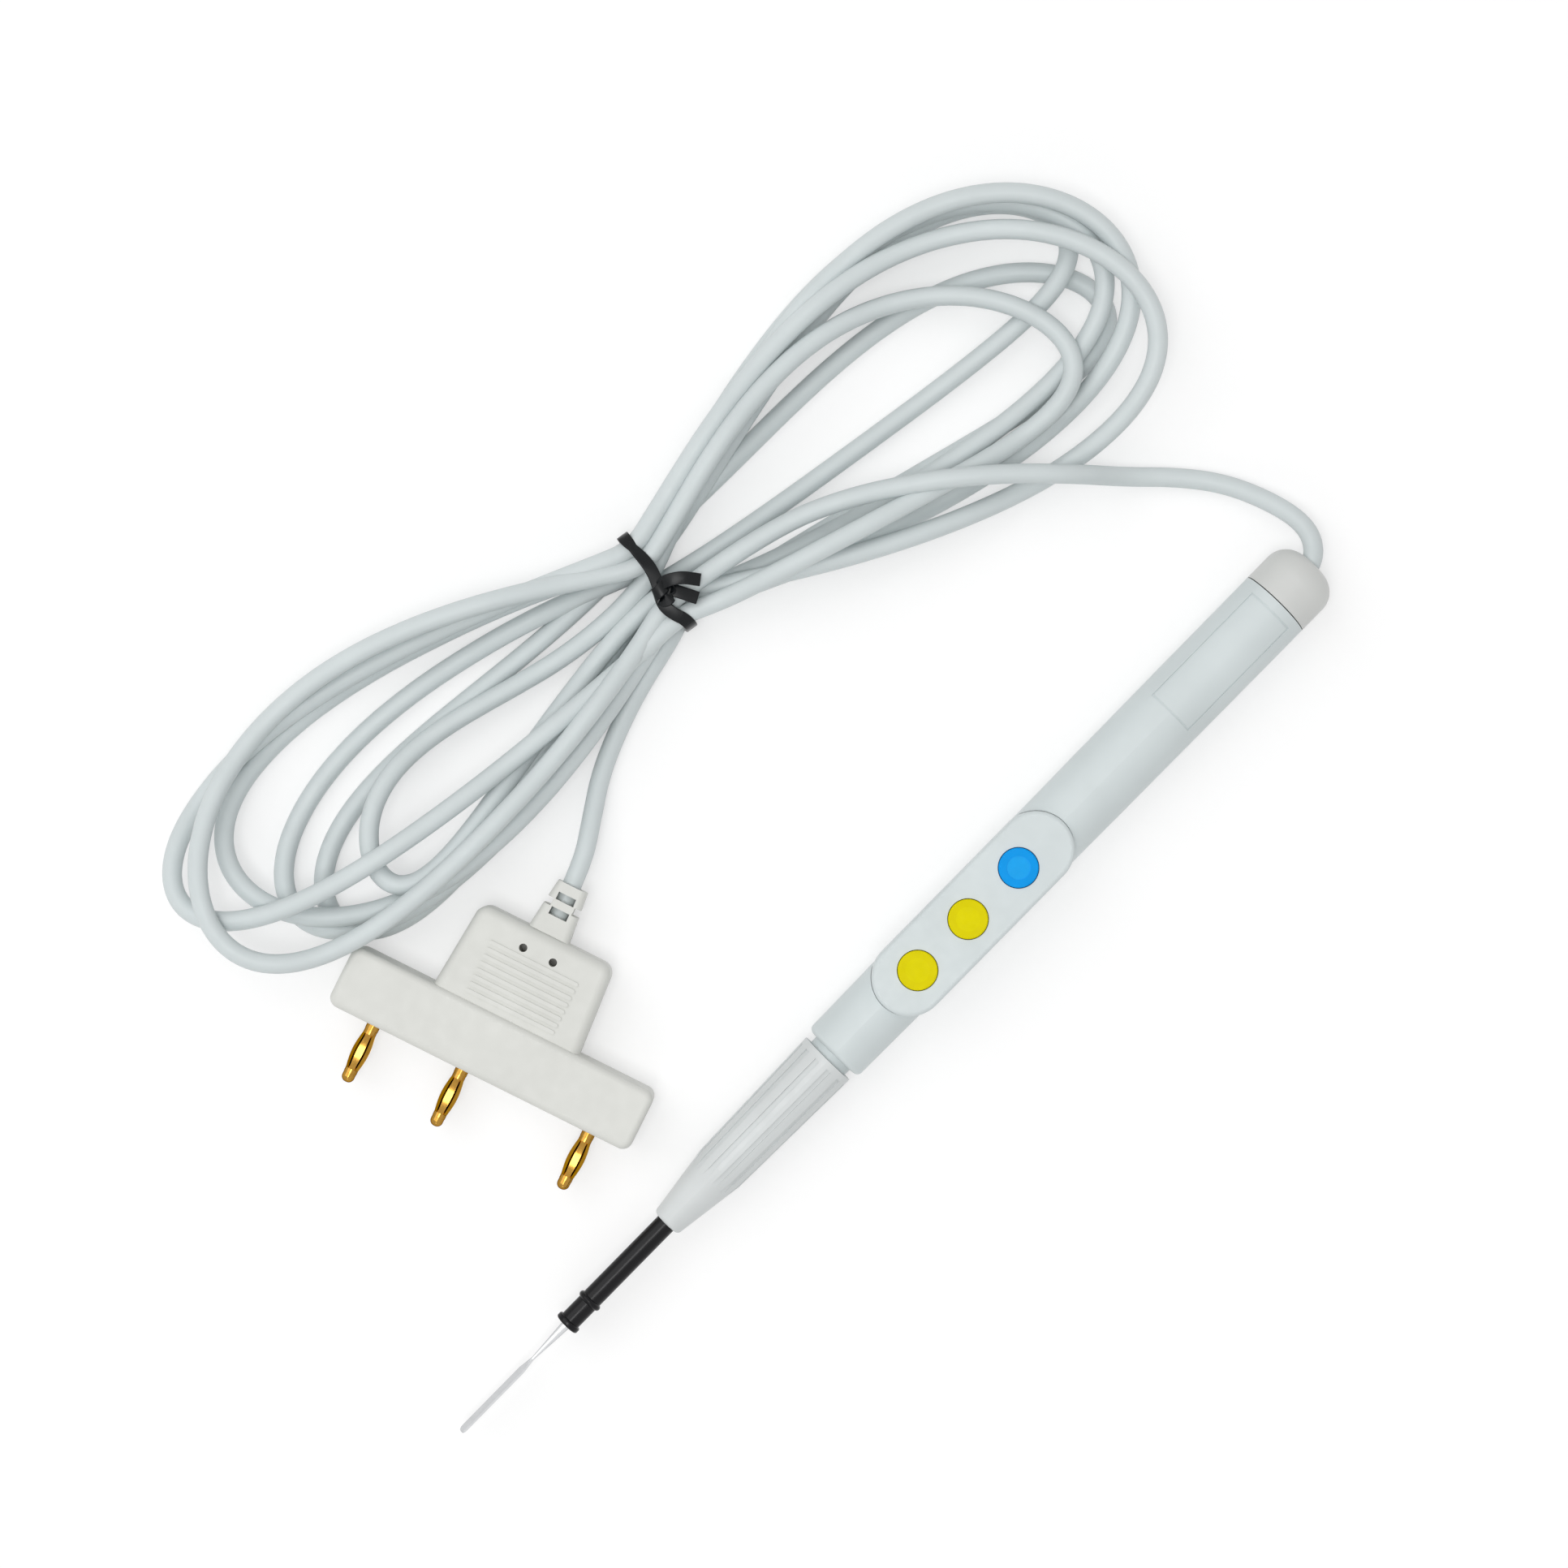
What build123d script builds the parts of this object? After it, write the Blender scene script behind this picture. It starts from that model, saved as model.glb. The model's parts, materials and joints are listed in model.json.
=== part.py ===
from build123d import *
from math import cos, degrees, pi, radians, sin, tan
import os

# Three-button electrosurgical pencil with its cord in a tied hank and a three-pin plug.
# Millimetres. The pencil lies along X, blade at -X and buttons up. The origin is on the surface that
# it lies on, under the middle of the pencil's length.

# Pencil, lengths from the tip of the blade to the end of the cap
blade_reach = 33.5
sleeve_reach = 32.0
nose_cone_length = 17.2
nose_grip_length = 34.4
nose_gap = 1.8
body_length = 140.9
cap_length = 12.2

# Handle shell
body_front_diameter = 15.2
body_rear_diameter = 17.0
body_front_round = 1.3
body_tapers = 5
bore_diameter = 12.4
front_wall = 3.0
spigot_diameter = 10.5
spigot_length = 13.0
spigot_bore_diameter = 6.2
label_length = 32.0
label_half_angle = 42.0
label_groove = 0.45
label_depth = 0.22
label_to_cap = 2.3

# Button panel and buttons
pad_length = 57.2
pad_width = 16.8
pad_rise = 1.3
pad_edge_round = 0.9
pad_rear_to_cap_joint = 68.2
panel_seat_height = 2.0
panel_wall = 1.5
panel_top = 1.6
panel_clearance = 0.1
button_diameter = 8.9
button_pitch = 15.95
rear_button_to_pad_end = 14.3
button_clearance = 0.18
button_proud = 0.5
button_edge_round = 0.35
button_flange = 0.75
button_flange_thickness = 0.9
button_play = 0.1
button_travel = 0.6
button_dish_diameter = 5.4
button_dish_depth = 0.12
stem_diameter = 3.0

# Switches, board and its tray
board_length = 52.0
board_width = 10.4
board_thickness = 1.6
board_top_height = 1.5
board_corner = 1.0
switch_side = 6.0
switch_corner = 0.5
switch_body_height = 3.0
switch_plunger_diameter = 3.2
switch_plunger_height = 0.8
switch_gap = 0.2
carrier_wall = 1.2
carrier_clearance = 0.05

# Chuck: ribbed nose, collet and socket
nose_rear_wall = 1.47
nose_taper_diameter = 12.0
nose_tip_diameter = 7.2
nose_tip_round = 1.0
nose_rear_round = 0.5
nose_running_clearance = 0.08
nose_rear_bore_length = 12.4
nose_ribs = 12
rib_groove_width = 1.25
rib_groove_depth = 0.42
rib_rear_land = 1.6
collet_room = 0.35
collet_head_diameter = 7.0
collet_front_diameter = 5.2
collet_head_length = 4.0
collet_cone_length = 8.0
collet_tail_diameter = 4.4
collet_tail_length = 5.0
collet_slots = 4
collet_slot_width = 0.6
collet_clearance = 0.03
socket_clearance = 0.03
socket_flange_diameter = 9.0
socket_flange_thickness = 1.2
socket_cup_length = 2.0
socket_cup_wall = 1.0
seal_section = 1.1
seal_groove_clearance = 0.1
nose_seal_to_body = 5.0

# Electrode
shank_diameter = 2.36
shank_clearance = 0.05
shank_in_socket = 4.0
sleeve_diameter = 4.8
sleeve_clearance = 0.09
sleeve_on_shank_clearance = 0.02
sleeve_to_collet = 1.2
sleeve_flange_diameter = 5.9
sleeve_flange_length = 1.5
sleeve_flange_round = 0.5
sleeve_bead_diameter = 5.9
sleeve_bead_round = 0.75
sleeve_bead_to_front = 7.6
blade_neck_length = 10.7
blade_root_diameter = 2.1
blade_neck_diameter = 0.7
blade_width = 2.4
blade_thickness = 0.5
blade_tip_round = 1.08
blade_flare_length = 3.5
blade_turn = 27.0

# Cap, seal and clamp
cap_end_round = 5.6
cap_joint_gap = 0.25
cap_spigot_length = 7.0
cap_spigot_clearance = 0.06
cap_cavity_diameter = 7.6
cap_end_wall = 4.0
cap_seal_to_joint = 3.2
clamp_wall = 0.6
clamp_length = 7.0
clamp_bead = 0.3

# Cord and inner leads
cord_diameter = 4.5
cord_hole_clearance = 0.1
cord_tail = 22.0
cord_bend_share = 0.45
lead_diameter = 1.1
lead_spacing = 2.4
lead_bend = 6.0
lead_step = 6.0
lead_slack = 1.6
lead_to_socket = 2.0

# Plug, along its own axis from the cord to the pins
plug_angle = 198.0
boot_length = 12.0
boot_front_width = 10.0
boot_front_height = 8.6
boot_rear_width = 7.2
boot_rear_height = 7.2
boot_corner = 1.6
boot_window_width = 4.4
boot_window_length = 1.8
boot_window_pitch = 3.6
boot_first_window = 3.2
boot_notch_depth = 1.0
handle_length = 21.0
handle_rear_width = 33.0
handle_front_width = 37.0
handle_thickness = 12.0
handle_corner = 3.0
handle_edge_round = 2.2
handle_in_bar = 5.0
bar_length = 75.0
bar_depth = 14.5
bar_thickness = 14.0
bar_corner = 2.4
bar_edge_round = 1.5
grip_ribs = 8
grip_rib_pitch = 1.7
grip_rib_length = 22.0
grip_rib_width = 0.9
grip_rib_height = 0.35
vent_diameter = 1.9
vent_spacing = 7.4
vent_depth = 8.0
vent_to_rear = 5.0
cord_in_handle = 7.0
cord_before_boot = 4.0

# Three lantern pins at the spacing of hand-switched generator sockets
pin_spacing_wide = 31.75
pin_spacing_narrow = 22.2
pin_offset = 0.8
pin_length = 14.5
pin_shank_diameter = 3.0
pin_shank_length = 8.0
pin_root_diameter = 3.1
pin_root_length = 1.6
pin_core_diameter = 2.4
pin_tip_diameter = 2.9
pin_tip_length = 2.2
pin_tip_round = 1.3
pin_fit_clearance = 0.02
lantern_diameter = 4.0
lantern_sheet = 0.28
lantern_land = 3.0
lantern_collar = 1.0
lantern_slots = 6
lantern_slot_width = 0.4

# Hank and tie
hank_height = 13.2
hank_waist_length = 6.0
hank_waist_width = 24.0
tie_width = 2.2
tie_thickness = 0.9
tie_inner_width = 22.6
tie_inner_height = 11.9
tie_corner = 4.2
tie_floor_gap = 0.1
tie_clearance = 0.05
tie_turn = -9.4
tie_tail_length = 9.5
tie_tail_angles = (-38.0, -68.0)
tie_knot_diameter = 5.0
tie_knot_height = 2.0
tie_knot_round = 0.65

# Stations and radii that follow from the sizes above
total_length = (
    blade_reach + sleeve_reach + nose_cone_length + nose_grip_length
    + nose_gap + body_length + cap_length
)
tip_x = -total_length / 2
sleeve_front_x = tip_x + blade_reach
nose_tip_x = sleeve_front_x + sleeve_reach
nose_taper_x = nose_tip_x + nose_cone_length
nose_rear_x = nose_taper_x + nose_grip_length
body_front_x = nose_rear_x + nose_gap
cap_joint_x = body_front_x + body_length
cap_end_x = cap_joint_x + cap_length
axis_height = body_rear_diameter / 2
body_front_r = body_front_diameter / 2
body_rear_r = body_rear_diameter / 2
bore_r = bore_diameter / 2
spigot_r = spigot_diameter / 2
cord_r = cord_diameter / 2
shank_r = shank_diameter / 2
sleeve_r = sleeve_diameter / 2

pencil_axis = Axis((0, 0, axis_height), (1, 0, 0))


def axial_plane(turn=0.0):
    """Plane through the pencil's axis: its x runs along the axis and its y is the radius."""
    angle = radians(turn)
    return Plane(
        origin=(0, 0, axis_height), x_dir=(1, 0, 0), z_dir=(0, -cos(angle), -sin(angle))
    )


def body_radius(x):
    """Outer radius of the handle at a station: a shallow curve, steeper towards the nose."""
    share = (cap_joint_x - x) / body_length
    return body_rear_r - (body_rear_r - body_front_r) * share**2


# Handle shell: tapered tube, front wall and spigot, panel opening and outlined label field
pad_rear_x = cap_joint_x - pad_rear_to_cap_joint
pad_middle_x = pad_rear_x - pad_length / 2
panel_seat_z = axis_height + panel_seat_height
pad_top_z = axis_height + body_radius(pad_middle_x) + pad_rise
front_wall_x = body_front_x + front_wall
spigot_front_x = body_front_x - spigot_length
nose_seal_x = body_front_x - nose_seal_to_body
socket_r = spigot_bore_diameter / 2
seal_groove = seal_section + 2 * seal_groove_clearance
seal_floor_r = spigot_r - seal_section
body_stations = [body_front_x + body_length * step / body_tapers for step in range(body_tapers + 1)]
label_rear_x = cap_joint_x - label_to_cap
label_front_x = label_rear_x - label_length
label_groove_angle = degrees(label_groove / body_rear_r)
label_grooves = [
    (label_front_x, label_front_x + label_groove, -label_half_angle, 2 * label_half_angle),
    (label_rear_x - label_groove, label_rear_x, -label_half_angle, 2 * label_half_angle),
    (label_front_x, label_rear_x, -label_half_angle, label_groove_angle),
    (label_front_x, label_rear_x, label_half_angle - label_groove_angle, label_groove_angle),
]

with BuildPart() as handle_shell:
    with BuildSketch(axial_plane()) as shell_section:
        with BuildLine():
            Polyline(
                (front_wall_x, socket_r),
                (spigot_front_x, socket_r),
                (spigot_front_x, spigot_r),
                (nose_seal_x - seal_groove / 2, spigot_r),
                (nose_seal_x - seal_groove / 2, seal_floor_r),
                (nose_seal_x + seal_groove / 2, seal_floor_r),
                (nose_seal_x + seal_groove / 2, spigot_r),
                (body_front_x, spigot_r),
                (body_front_x, body_front_r),
            )
            Polyline(*[(x, body_radius(x)) for x in body_stations])
            Polyline(
                (cap_joint_x, body_rear_r),
                (cap_joint_x, bore_r),
                (front_wall_x, bore_r),
                (front_wall_x, socket_r),
            )
        make_face()
        front_corner = shell_section.vertices().sort_by_distance((body_front_x, body_front_r))[0]
        fillet(front_corner, body_front_round)
    revolve(axis=pencil_axis)
    with BuildSketch(Plane.XY.offset(panel_seat_z)):
        with Locations((pad_middle_x, 0)):
            SlotOverall(pad_length + 2 * panel_clearance, pad_width + 2 * panel_clearance)
    extrude(amount=pad_top_z - panel_seat_z, mode=Mode.SUBTRACT)
    for groove_front_x, groove_rear_x, groove_turn, groove_arc in label_grooves:
        with BuildSketch(axial_plane(groove_turn)):
            with BuildLine():
                Polyline(
                    (groove_front_x, body_radius(groove_front_x) - label_depth),
                    (groove_rear_x, body_radius(groove_rear_x) - label_depth),
                    (groove_rear_x, body_rear_r + label_depth),
                    (groove_front_x, body_rear_r + label_depth),
                    close=True,
                )
            make_face()
        revolve(axis=pencil_axis, revolution_arc=groove_arc, mode=Mode.SUBTRACT)
handle_shell.part.label = "handle_shell"

# Button panel: flat-topped stadium cover with a hollow underside and three button holes
button_r = button_diameter / 2
rear_button_x = pad_rear_x - rear_button_to_pad_end
button_places = {
    "front": rear_button_x - 2 * button_pitch,
    "middle": rear_button_x - button_pitch,
    "rear": rear_button_x,
}

with BuildPart() as button_panel:
    with BuildSketch(Plane.XY.offset(panel_seat_z)):
        with Locations((pad_middle_x, 0)):
            SlotOverall(pad_length, pad_width)
    extrude(amount=pad_top_z - panel_seat_z)
    fillet(button_panel.faces().sort_by(Axis.Z)[-1].edges(), pad_edge_round)
    with BuildSketch(Plane.XY.offset(panel_seat_z)):
        with Locations((pad_middle_x, 0)):
            SlotOverall(pad_length - 2 * panel_wall, pad_width - 2 * panel_wall)
    extrude(amount=pad_top_z - panel_seat_z - panel_top, mode=Mode.SUBTRACT)
    with BuildSketch(Plane.XY.offset(pad_top_z)):
        with Locations([(x, 0) for x in button_places.values()]):
            Circle(button_r + button_clearance)
    extrude(amount=-panel_top, mode=Mode.SUBTRACT)
button_panel.part.label = "button_panel"

# Buttons: disc in its hole, retaining flange under the panel, stem over the switch
board_top_z = axis_height + board_top_height
switch_top_z = board_top_z + switch_body_height + switch_plunger_height
flange_top_z = pad_top_z - panel_top - button_play
flange_bottom_z = flange_top_z - button_flange_thickness
stem_bottom_z = switch_top_z + switch_gap + button_travel
button_top_z = pad_top_z + button_proud


def make_button(x, dished):
    """Push button at a station, with a shallow dished face if asked for."""
    with BuildPart() as button:
        with BuildSketch(Plane.XY.offset(flange_bottom_z)):
            with Locations((x, 0)):
                Circle(button_r + button_flange)
        extrude(amount=button_flange_thickness)
        with BuildSketch(Plane.XY.offset(flange_top_z)):
            with Locations((x, 0)):
                Circle(button_r)
        extrude(amount=button_top_z - flange_top_z)
        fillet(button.faces().sort_by(Axis.Z)[-1].edges(), button_edge_round)
        with BuildSketch(Plane.XY.offset(flange_bottom_z)):
            with Locations((x, 0)):
                Circle(stem_diameter / 2)
        extrude(amount=stem_bottom_z - flange_bottom_z)
        if dished:
            with BuildSketch(Plane.XY.offset(button_top_z)):
                with Locations((x, 0)):
                    Circle(button_dish_diameter / 2)
            extrude(amount=-button_dish_depth, mode=Mode.SUBTRACT)
    return button


def make_switch(x):
    """Tactile switch at a station: square base with a round plunger."""
    with BuildPart() as switch:
        with BuildSketch(Plane.XY.offset(board_top_z)):
            with Locations((x, 0)):
                RectangleRounded(switch_side, switch_side, switch_corner)
        extrude(amount=switch_body_height)
        with BuildSketch(Plane.XY.offset(board_top_z + switch_body_height)):
            with Locations((x, 0)):
                Circle(switch_plunger_diameter / 2)
        extrude(amount=switch_plunger_height)
    return switch


# Switch board, and the half-round tray that it lies on
board_bottom_z = board_top_z - board_thickness
board_rear_x = pad_middle_x + board_length / 2
carrier_r = bore_r - carrier_clearance
carrier_front_x = pad_middle_x - board_length / 2

with BuildPart() as switch_board:
    with BuildSketch(Plane.XY.offset(board_bottom_z)):
        with Locations((pad_middle_x, 0)):
            RectangleRounded(board_length, board_width, board_corner)
    extrude(amount=board_thickness)
switch_board.part.label = "switch_board"

with BuildPart() as board_carrier:
    with BuildSketch(Plane.YZ.offset(carrier_front_x)):
        with Locations((0, axis_height)):
            Circle(carrier_r)
            Circle(carrier_r - carrier_wall, mode=Mode.SUBTRACT)
        with Locations((0, board_bottom_z)):
            Rectangle(bore_diameter, bore_diameter, align=(Align.CENTER, Align.MIN), mode=Mode.SUBTRACT)
    extrude(amount=board_length)
board_carrier.part.label = "board_carrier"

# Contact socket: brass tube in the spigot, seated by its flange on the front wall
socket_outer_r = socket_r - socket_clearance
socket_rear_x = front_wall_x + socket_flange_thickness + socket_cup_length
socket_bore_r = shank_r + shank_clearance
collet_tail_r = collet_tail_diameter / 2
collet_rear_x = spigot_front_x + collet_tail_length
lead_r = lead_diameter / 2

with BuildPart() as contact_socket:
    with BuildSketch(axial_plane()):
        with BuildLine():
            Polyline(
                (spigot_front_x, collet_tail_r + collet_clearance),
                (spigot_front_x, socket_outer_r),
                (front_wall_x, socket_outer_r),
                (front_wall_x, socket_flange_diameter / 2),
                (front_wall_x + socket_flange_thickness, socket_flange_diameter / 2),
                (front_wall_x + socket_flange_thickness, lead_r + socket_clearance + socket_cup_wall),
                (socket_rear_x, lead_r + socket_clearance + socket_cup_wall),
                (socket_rear_x, lead_r + socket_clearance),
                (front_wall_x, lead_r + socket_clearance),
                (front_wall_x, socket_bore_r),
                (collet_rear_x + collet_clearance, socket_bore_r),
                (collet_rear_x + collet_clearance, collet_tail_r + collet_clearance),
                close=True,
            )
        make_face()
    revolve(axis=pencil_axis)
contact_socket.part.label = "contact_socket"

# Collet: tail in the socket, head against the spigot, slotted cone that the nose closes
collet_head_r = collet_head_diameter / 2
collet_front_r = collet_front_diameter / 2
collet_cone_x = spigot_front_x - collet_head_length
collet_front_x = collet_cone_x - collet_cone_length

with BuildPart() as collet:
    with BuildSketch(axial_plane()):
        with BuildLine():
            Polyline(
                (collet_rear_x, shank_r + shank_clearance),
                (collet_rear_x, collet_tail_r),
                (spigot_front_x, collet_tail_r),
                (spigot_front_x, collet_head_r),
                (collet_cone_x, collet_head_r),
                (collet_front_x, collet_front_r),
                (collet_front_x, shank_r + shank_clearance),
                close=True,
            )
        make_face()
    revolve(axis=pencil_axis)
    with BuildSketch(*[axial_plane(turn * 360 / collet_slots) for turn in range(collet_slots)]):
        with Locations((collet_front_x, 0)):
            Rectangle(
                collet_cone_length + collet_head_length / 2,
                collet_head_diameter,
                align=(Align.MIN, Align.MIN),
            )
    extrude(amount=collet_slot_width / 2, both=True, mode=Mode.SUBTRACT)
collet.part.label = "collet"

# Nose: twist collar on the spigot, ribbed grip and smooth cone, bored for collet and sleeve
nose_bore_r = spigot_r + nose_running_clearance
nose_rear_r = nose_bore_r + nose_rear_wall
nose_taper_r = nose_taper_diameter / 2
nose_tip_r = nose_tip_diameter / 2
nose_shoulder_x = nose_rear_x - nose_rear_bore_length
collet_bore_r = collet_head_r + collet_room
sleeve_bore_r = sleeve_r + sleeve_clearance
cone_end_x = collet_front_x - collet_room
rib_rear_x = nose_rear_x - rib_rear_land
grip_slope = (nose_rear_r - nose_taper_r) / nose_grip_length


def grip_radius(x):
    """Outer radius of the nose's straight tapering grip, carried on past its end."""
    return nose_taper_r + (x - nose_taper_x) * grip_slope


with BuildPart() as chuck_nose:
    with BuildSketch(axial_plane()) as nose_section:
        with BuildLine():
            Polyline(
                (nose_rear_x, nose_bore_r),
                (nose_rear_x, nose_rear_r),
                (nose_taper_x, nose_taper_r),
                (nose_tip_x, nose_tip_r),
                (nose_tip_x, sleeve_bore_r),
                (cone_end_x, sleeve_bore_r),
                (cone_end_x, collet_front_r + collet_room),
                (collet_cone_x, collet_bore_r),
                (nose_shoulder_x, collet_bore_r),
                (nose_shoulder_x, nose_bore_r),
                close=True,
            )
        make_face()
        corners = nose_section.vertices()
        fillet(corners.sort_by_distance((nose_tip_x, nose_tip_r))[0], nose_tip_round)
        fillet(corners.sort_by_distance((nose_rear_x, nose_rear_r))[0], nose_rear_round)
    revolve(axis=pencil_axis)
    with BuildSketch(*[axial_plane((turn + 0.5) * 360 / nose_ribs) for turn in range(nose_ribs)]):
        with BuildLine():
            Polyline(
                (rib_rear_x, grip_radius(rib_rear_x) - rib_groove_depth),
                (rib_rear_x, nose_rear_r + rib_groove_depth),
                (nose_tip_x, nose_rear_r + rib_groove_depth),
                (nose_tip_x, grip_radius(nose_tip_x) - rib_groove_depth),
                close=True,
            )
        make_face()
    extrude(amount=rib_groove_width / 2, both=True, mode=Mode.SUBTRACT)
chuck_nose.part.label = "chuck_nose"


def make_seal(x, floor_r):
    """O-ring that lies on the floor of a groove."""
    with BuildPart() as seal:
        with BuildSketch(axial_plane()):
            with Locations((x, floor_r + seal_section / 2)):
                Circle(seal_section / 2)
        revolve(axis=pencil_axis)
    return seal


nose_seal = make_seal(nose_seal_x, seal_floor_r)
nose_seal.part.label = "nose_seal"

# Electrode: steel shank, tapered neck and flat blade
shank_rear_x = collet_rear_x + shank_in_socket
blade_neck_x = sleeve_front_x - blade_neck_length
blade_flare_x = blade_neck_x - blade_flare_length
blade_root_r = blade_root_diameter / 2
blade_neck_r = blade_neck_diameter / 2

with BuildPart() as electrode_blade:
    with BuildSketch(axial_plane()):
        with BuildLine():
            Polyline(
                (shank_rear_x, 0),
                (shank_rear_x, shank_r),
                (sleeve_front_x, shank_r),
                (sleeve_front_x, blade_root_r),
                (blade_neck_x, blade_neck_r),
                (blade_flare_x, blade_thickness / 2),
                (blade_flare_x, 0),
                close=True,
            )
        make_face()
    revolve(axis=pencil_axis)
    with BuildSketch(axial_plane(blade_turn)) as blade_outline:
        with BuildLine():
            Polyline(
                (blade_neck_x, blade_neck_r),
                (blade_flare_x, blade_width / 2),
                (tip_x, blade_width / 2),
                (tip_x, -blade_width / 2),
                (blade_flare_x, -blade_width / 2),
                (blade_neck_x, -blade_neck_r),
                close=True,
            )
        make_face()
        fillet(blade_outline.vertices().group_by(Axis.X)[0], blade_tip_round)
    extrude(amount=blade_thickness / 2, both=True)
electrode_blade.part.label = "electrode_blade"

# Electrode sleeve: insulating tube with a front flange and one ring bead
sleeve_rear_x = collet_front_x - sleeve_to_collet
sleeve_bead_x = sleeve_front_x + sleeve_bead_to_front
sleeve_flange_r = sleeve_flange_diameter / 2

with BuildPart() as electrode_sleeve:
    with BuildSketch(axial_plane()) as sleeve_section:
        with BuildLine():
            Polyline(
                (sleeve_rear_x, shank_r + sleeve_on_shank_clearance),
                (sleeve_rear_x, sleeve_r),
                (sleeve_front_x + sleeve_flange_length, sleeve_r),
                (sleeve_front_x + sleeve_flange_length, sleeve_flange_r),
                (sleeve_front_x, sleeve_flange_r),
                (sleeve_front_x, shank_r + sleeve_on_shank_clearance),
                close=True,
            )
        make_face()
        flange_corners = sleeve_section.vertices().sort_by_distance((sleeve_front_x, sleeve_flange_r))
        fillet(flange_corners[0:2], sleeve_flange_round)
        with Locations((sleeve_bead_x, sleeve_bead_diameter / 2 - sleeve_bead_round)):
            Circle(sleeve_bead_round)
    revolve(axis=pencil_axis)
electrode_sleeve.part.label = "electrode_sleeve"

# End cap: rounded end, spigot in the bore, cavity for the clamp and hole for the cord
cap_front_x = cap_joint_x + cap_joint_gap
cap_spigot_r = bore_r - cap_spigot_clearance
cap_spigot_x = cap_joint_x - cap_spigot_length
cap_cavity_r = cap_cavity_diameter / 2
cap_cavity_x = cap_end_x - cap_end_wall
cord_hole_r = cord_r + cord_hole_clearance
cap_seal_x = cap_joint_x - cap_seal_to_joint
cap_seal_floor_r = cap_spigot_r - seal_section

with BuildPart() as end_cap:
    with BuildSketch(axial_plane()) as cap_section:
        with BuildLine():
            Polyline(
                (cap_spigot_x, cap_cavity_r),
                (cap_spigot_x, cap_spigot_r),
                (cap_seal_x - seal_groove / 2, cap_spigot_r),
                (cap_seal_x - seal_groove / 2, cap_seal_floor_r),
                (cap_seal_x + seal_groove / 2, cap_seal_floor_r),
                (cap_seal_x + seal_groove / 2, cap_spigot_r),
                (cap_front_x, cap_spigot_r),
                (cap_front_x, body_rear_r),
                (cap_end_x, body_rear_r),
                (cap_end_x, cord_hole_r),
                (cap_cavity_x, cord_hole_r),
                (cap_cavity_x, cap_cavity_r),
                close=True,
            )
        make_face()
        fillet(cap_section.vertices().sort_by_distance((cap_end_x, body_rear_r))[0], cap_end_round)
    revolve(axis=pencil_axis)
end_cap.part.label = "end_cap"

cap_seal = make_seal(cap_seal_x, cap_seal_floor_r)
cap_seal.part.label = "cap_seal"

# Cable clamp: crimped ferrule that bears on the inside of the cap
clamp_r = cord_hole_r + clamp_wall
clamp_rear_x = cap_cavity_x
clamp_front_x = clamp_rear_x - clamp_length

with BuildPart() as cable_clamp:
    with BuildSketch(axial_plane()):
        with BuildLine():
            Polyline(
                (clamp_front_x, cord_hole_r),
                (clamp_front_x, clamp_r),
                (clamp_rear_x - clamp_wall, clamp_r),
                (clamp_rear_x - clamp_wall, clamp_r + clamp_bead),
                (clamp_rear_x, clamp_r + clamp_bead),
                (clamp_rear_x, cord_hole_r),
                close=True,
            )
        make_face()
    revolve(axis=pencil_axis)
cable_clamp.part.label = "cable_clamp"

# Routes of the cord, as offsets from where it leaves the cap
cord_exit = Vector(cap_end_x, 0, axis_height)


def from_exit(x, y, height):
    """Point of the floor plan by its offset from the cord's exit, at a height over the floor."""
    return Vector(cord_exit.X + x, y, height)


pencil_route = [
    from_exit(-cord_tail, 0, axis_height),
    from_exit(2.2, 0, axis_height),
    from_exit(5.2, 3.1, 8.4),
    from_exit(4.9, 10.0, 7.2),
    from_exit(3.2, 18.6, 4.9),
    from_exit(-0.4, 27.4, 3.0),
    from_exit(-6.6, 35.6, 2.6),
    from_exit(-14.8, 43.8, 3.8),
    from_exit(-23.5, 52.6, 7.0),
]

# Plug frame: x along its axis towards the pins, y along the bar, origin at the boot's cord end
plug_axis_height = bar_thickness / 2
plug_origin = from_exit(-167.4, 67.7, plug_axis_height)
plug_forward = Vector(cos(radians(plug_angle)), sin(radians(plug_angle)), 0)
plug_plane = Plane(origin=plug_origin, x_dir=plug_forward, z_dir=(0, 0, 1))
handle_rear = boot_length
bar_rear = handle_rear + handle_length
bar_front = bar_rear + bar_depth


def plug_point(forward, across=0.0, up=0.0):
    """Point in space from its place in the plug's frame."""
    return plug_plane.from_local_coords((forward, across, up))


def plug_section(forward):
    """Plane across the plug's axis: its x runs along the bar and its y is up."""
    return Plane(origin=plug_point(forward), x_dir=plug_plane.y_dir, z_dir=plug_plane.x_dir)


plug_route = [
    from_exit(-112.0, 91.4, 6.8),
    from_exit(-128.0, 88.0, 2.9),
    from_exit(-144.0, 82.0, 2.5),
    from_exit(-154.2, 74.6, 4.5),
    plug_point(-cord_before_boot),
    plug_point(handle_rear + cord_in_handle),
]


def bend_radii(route):
    """Largest bends that a route's runs leave room for, one for each inner point."""
    radii = []
    for before, corner, after in zip(route, route[1:], route[2:]):
        turn = (corner - before).get_angle(after - corner)
        shorter = min((corner - before).length, (after - corner).length)
        radii.append(cord_bend_share * shorter / tan(radians(turn) / 2))
    return radii


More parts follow.
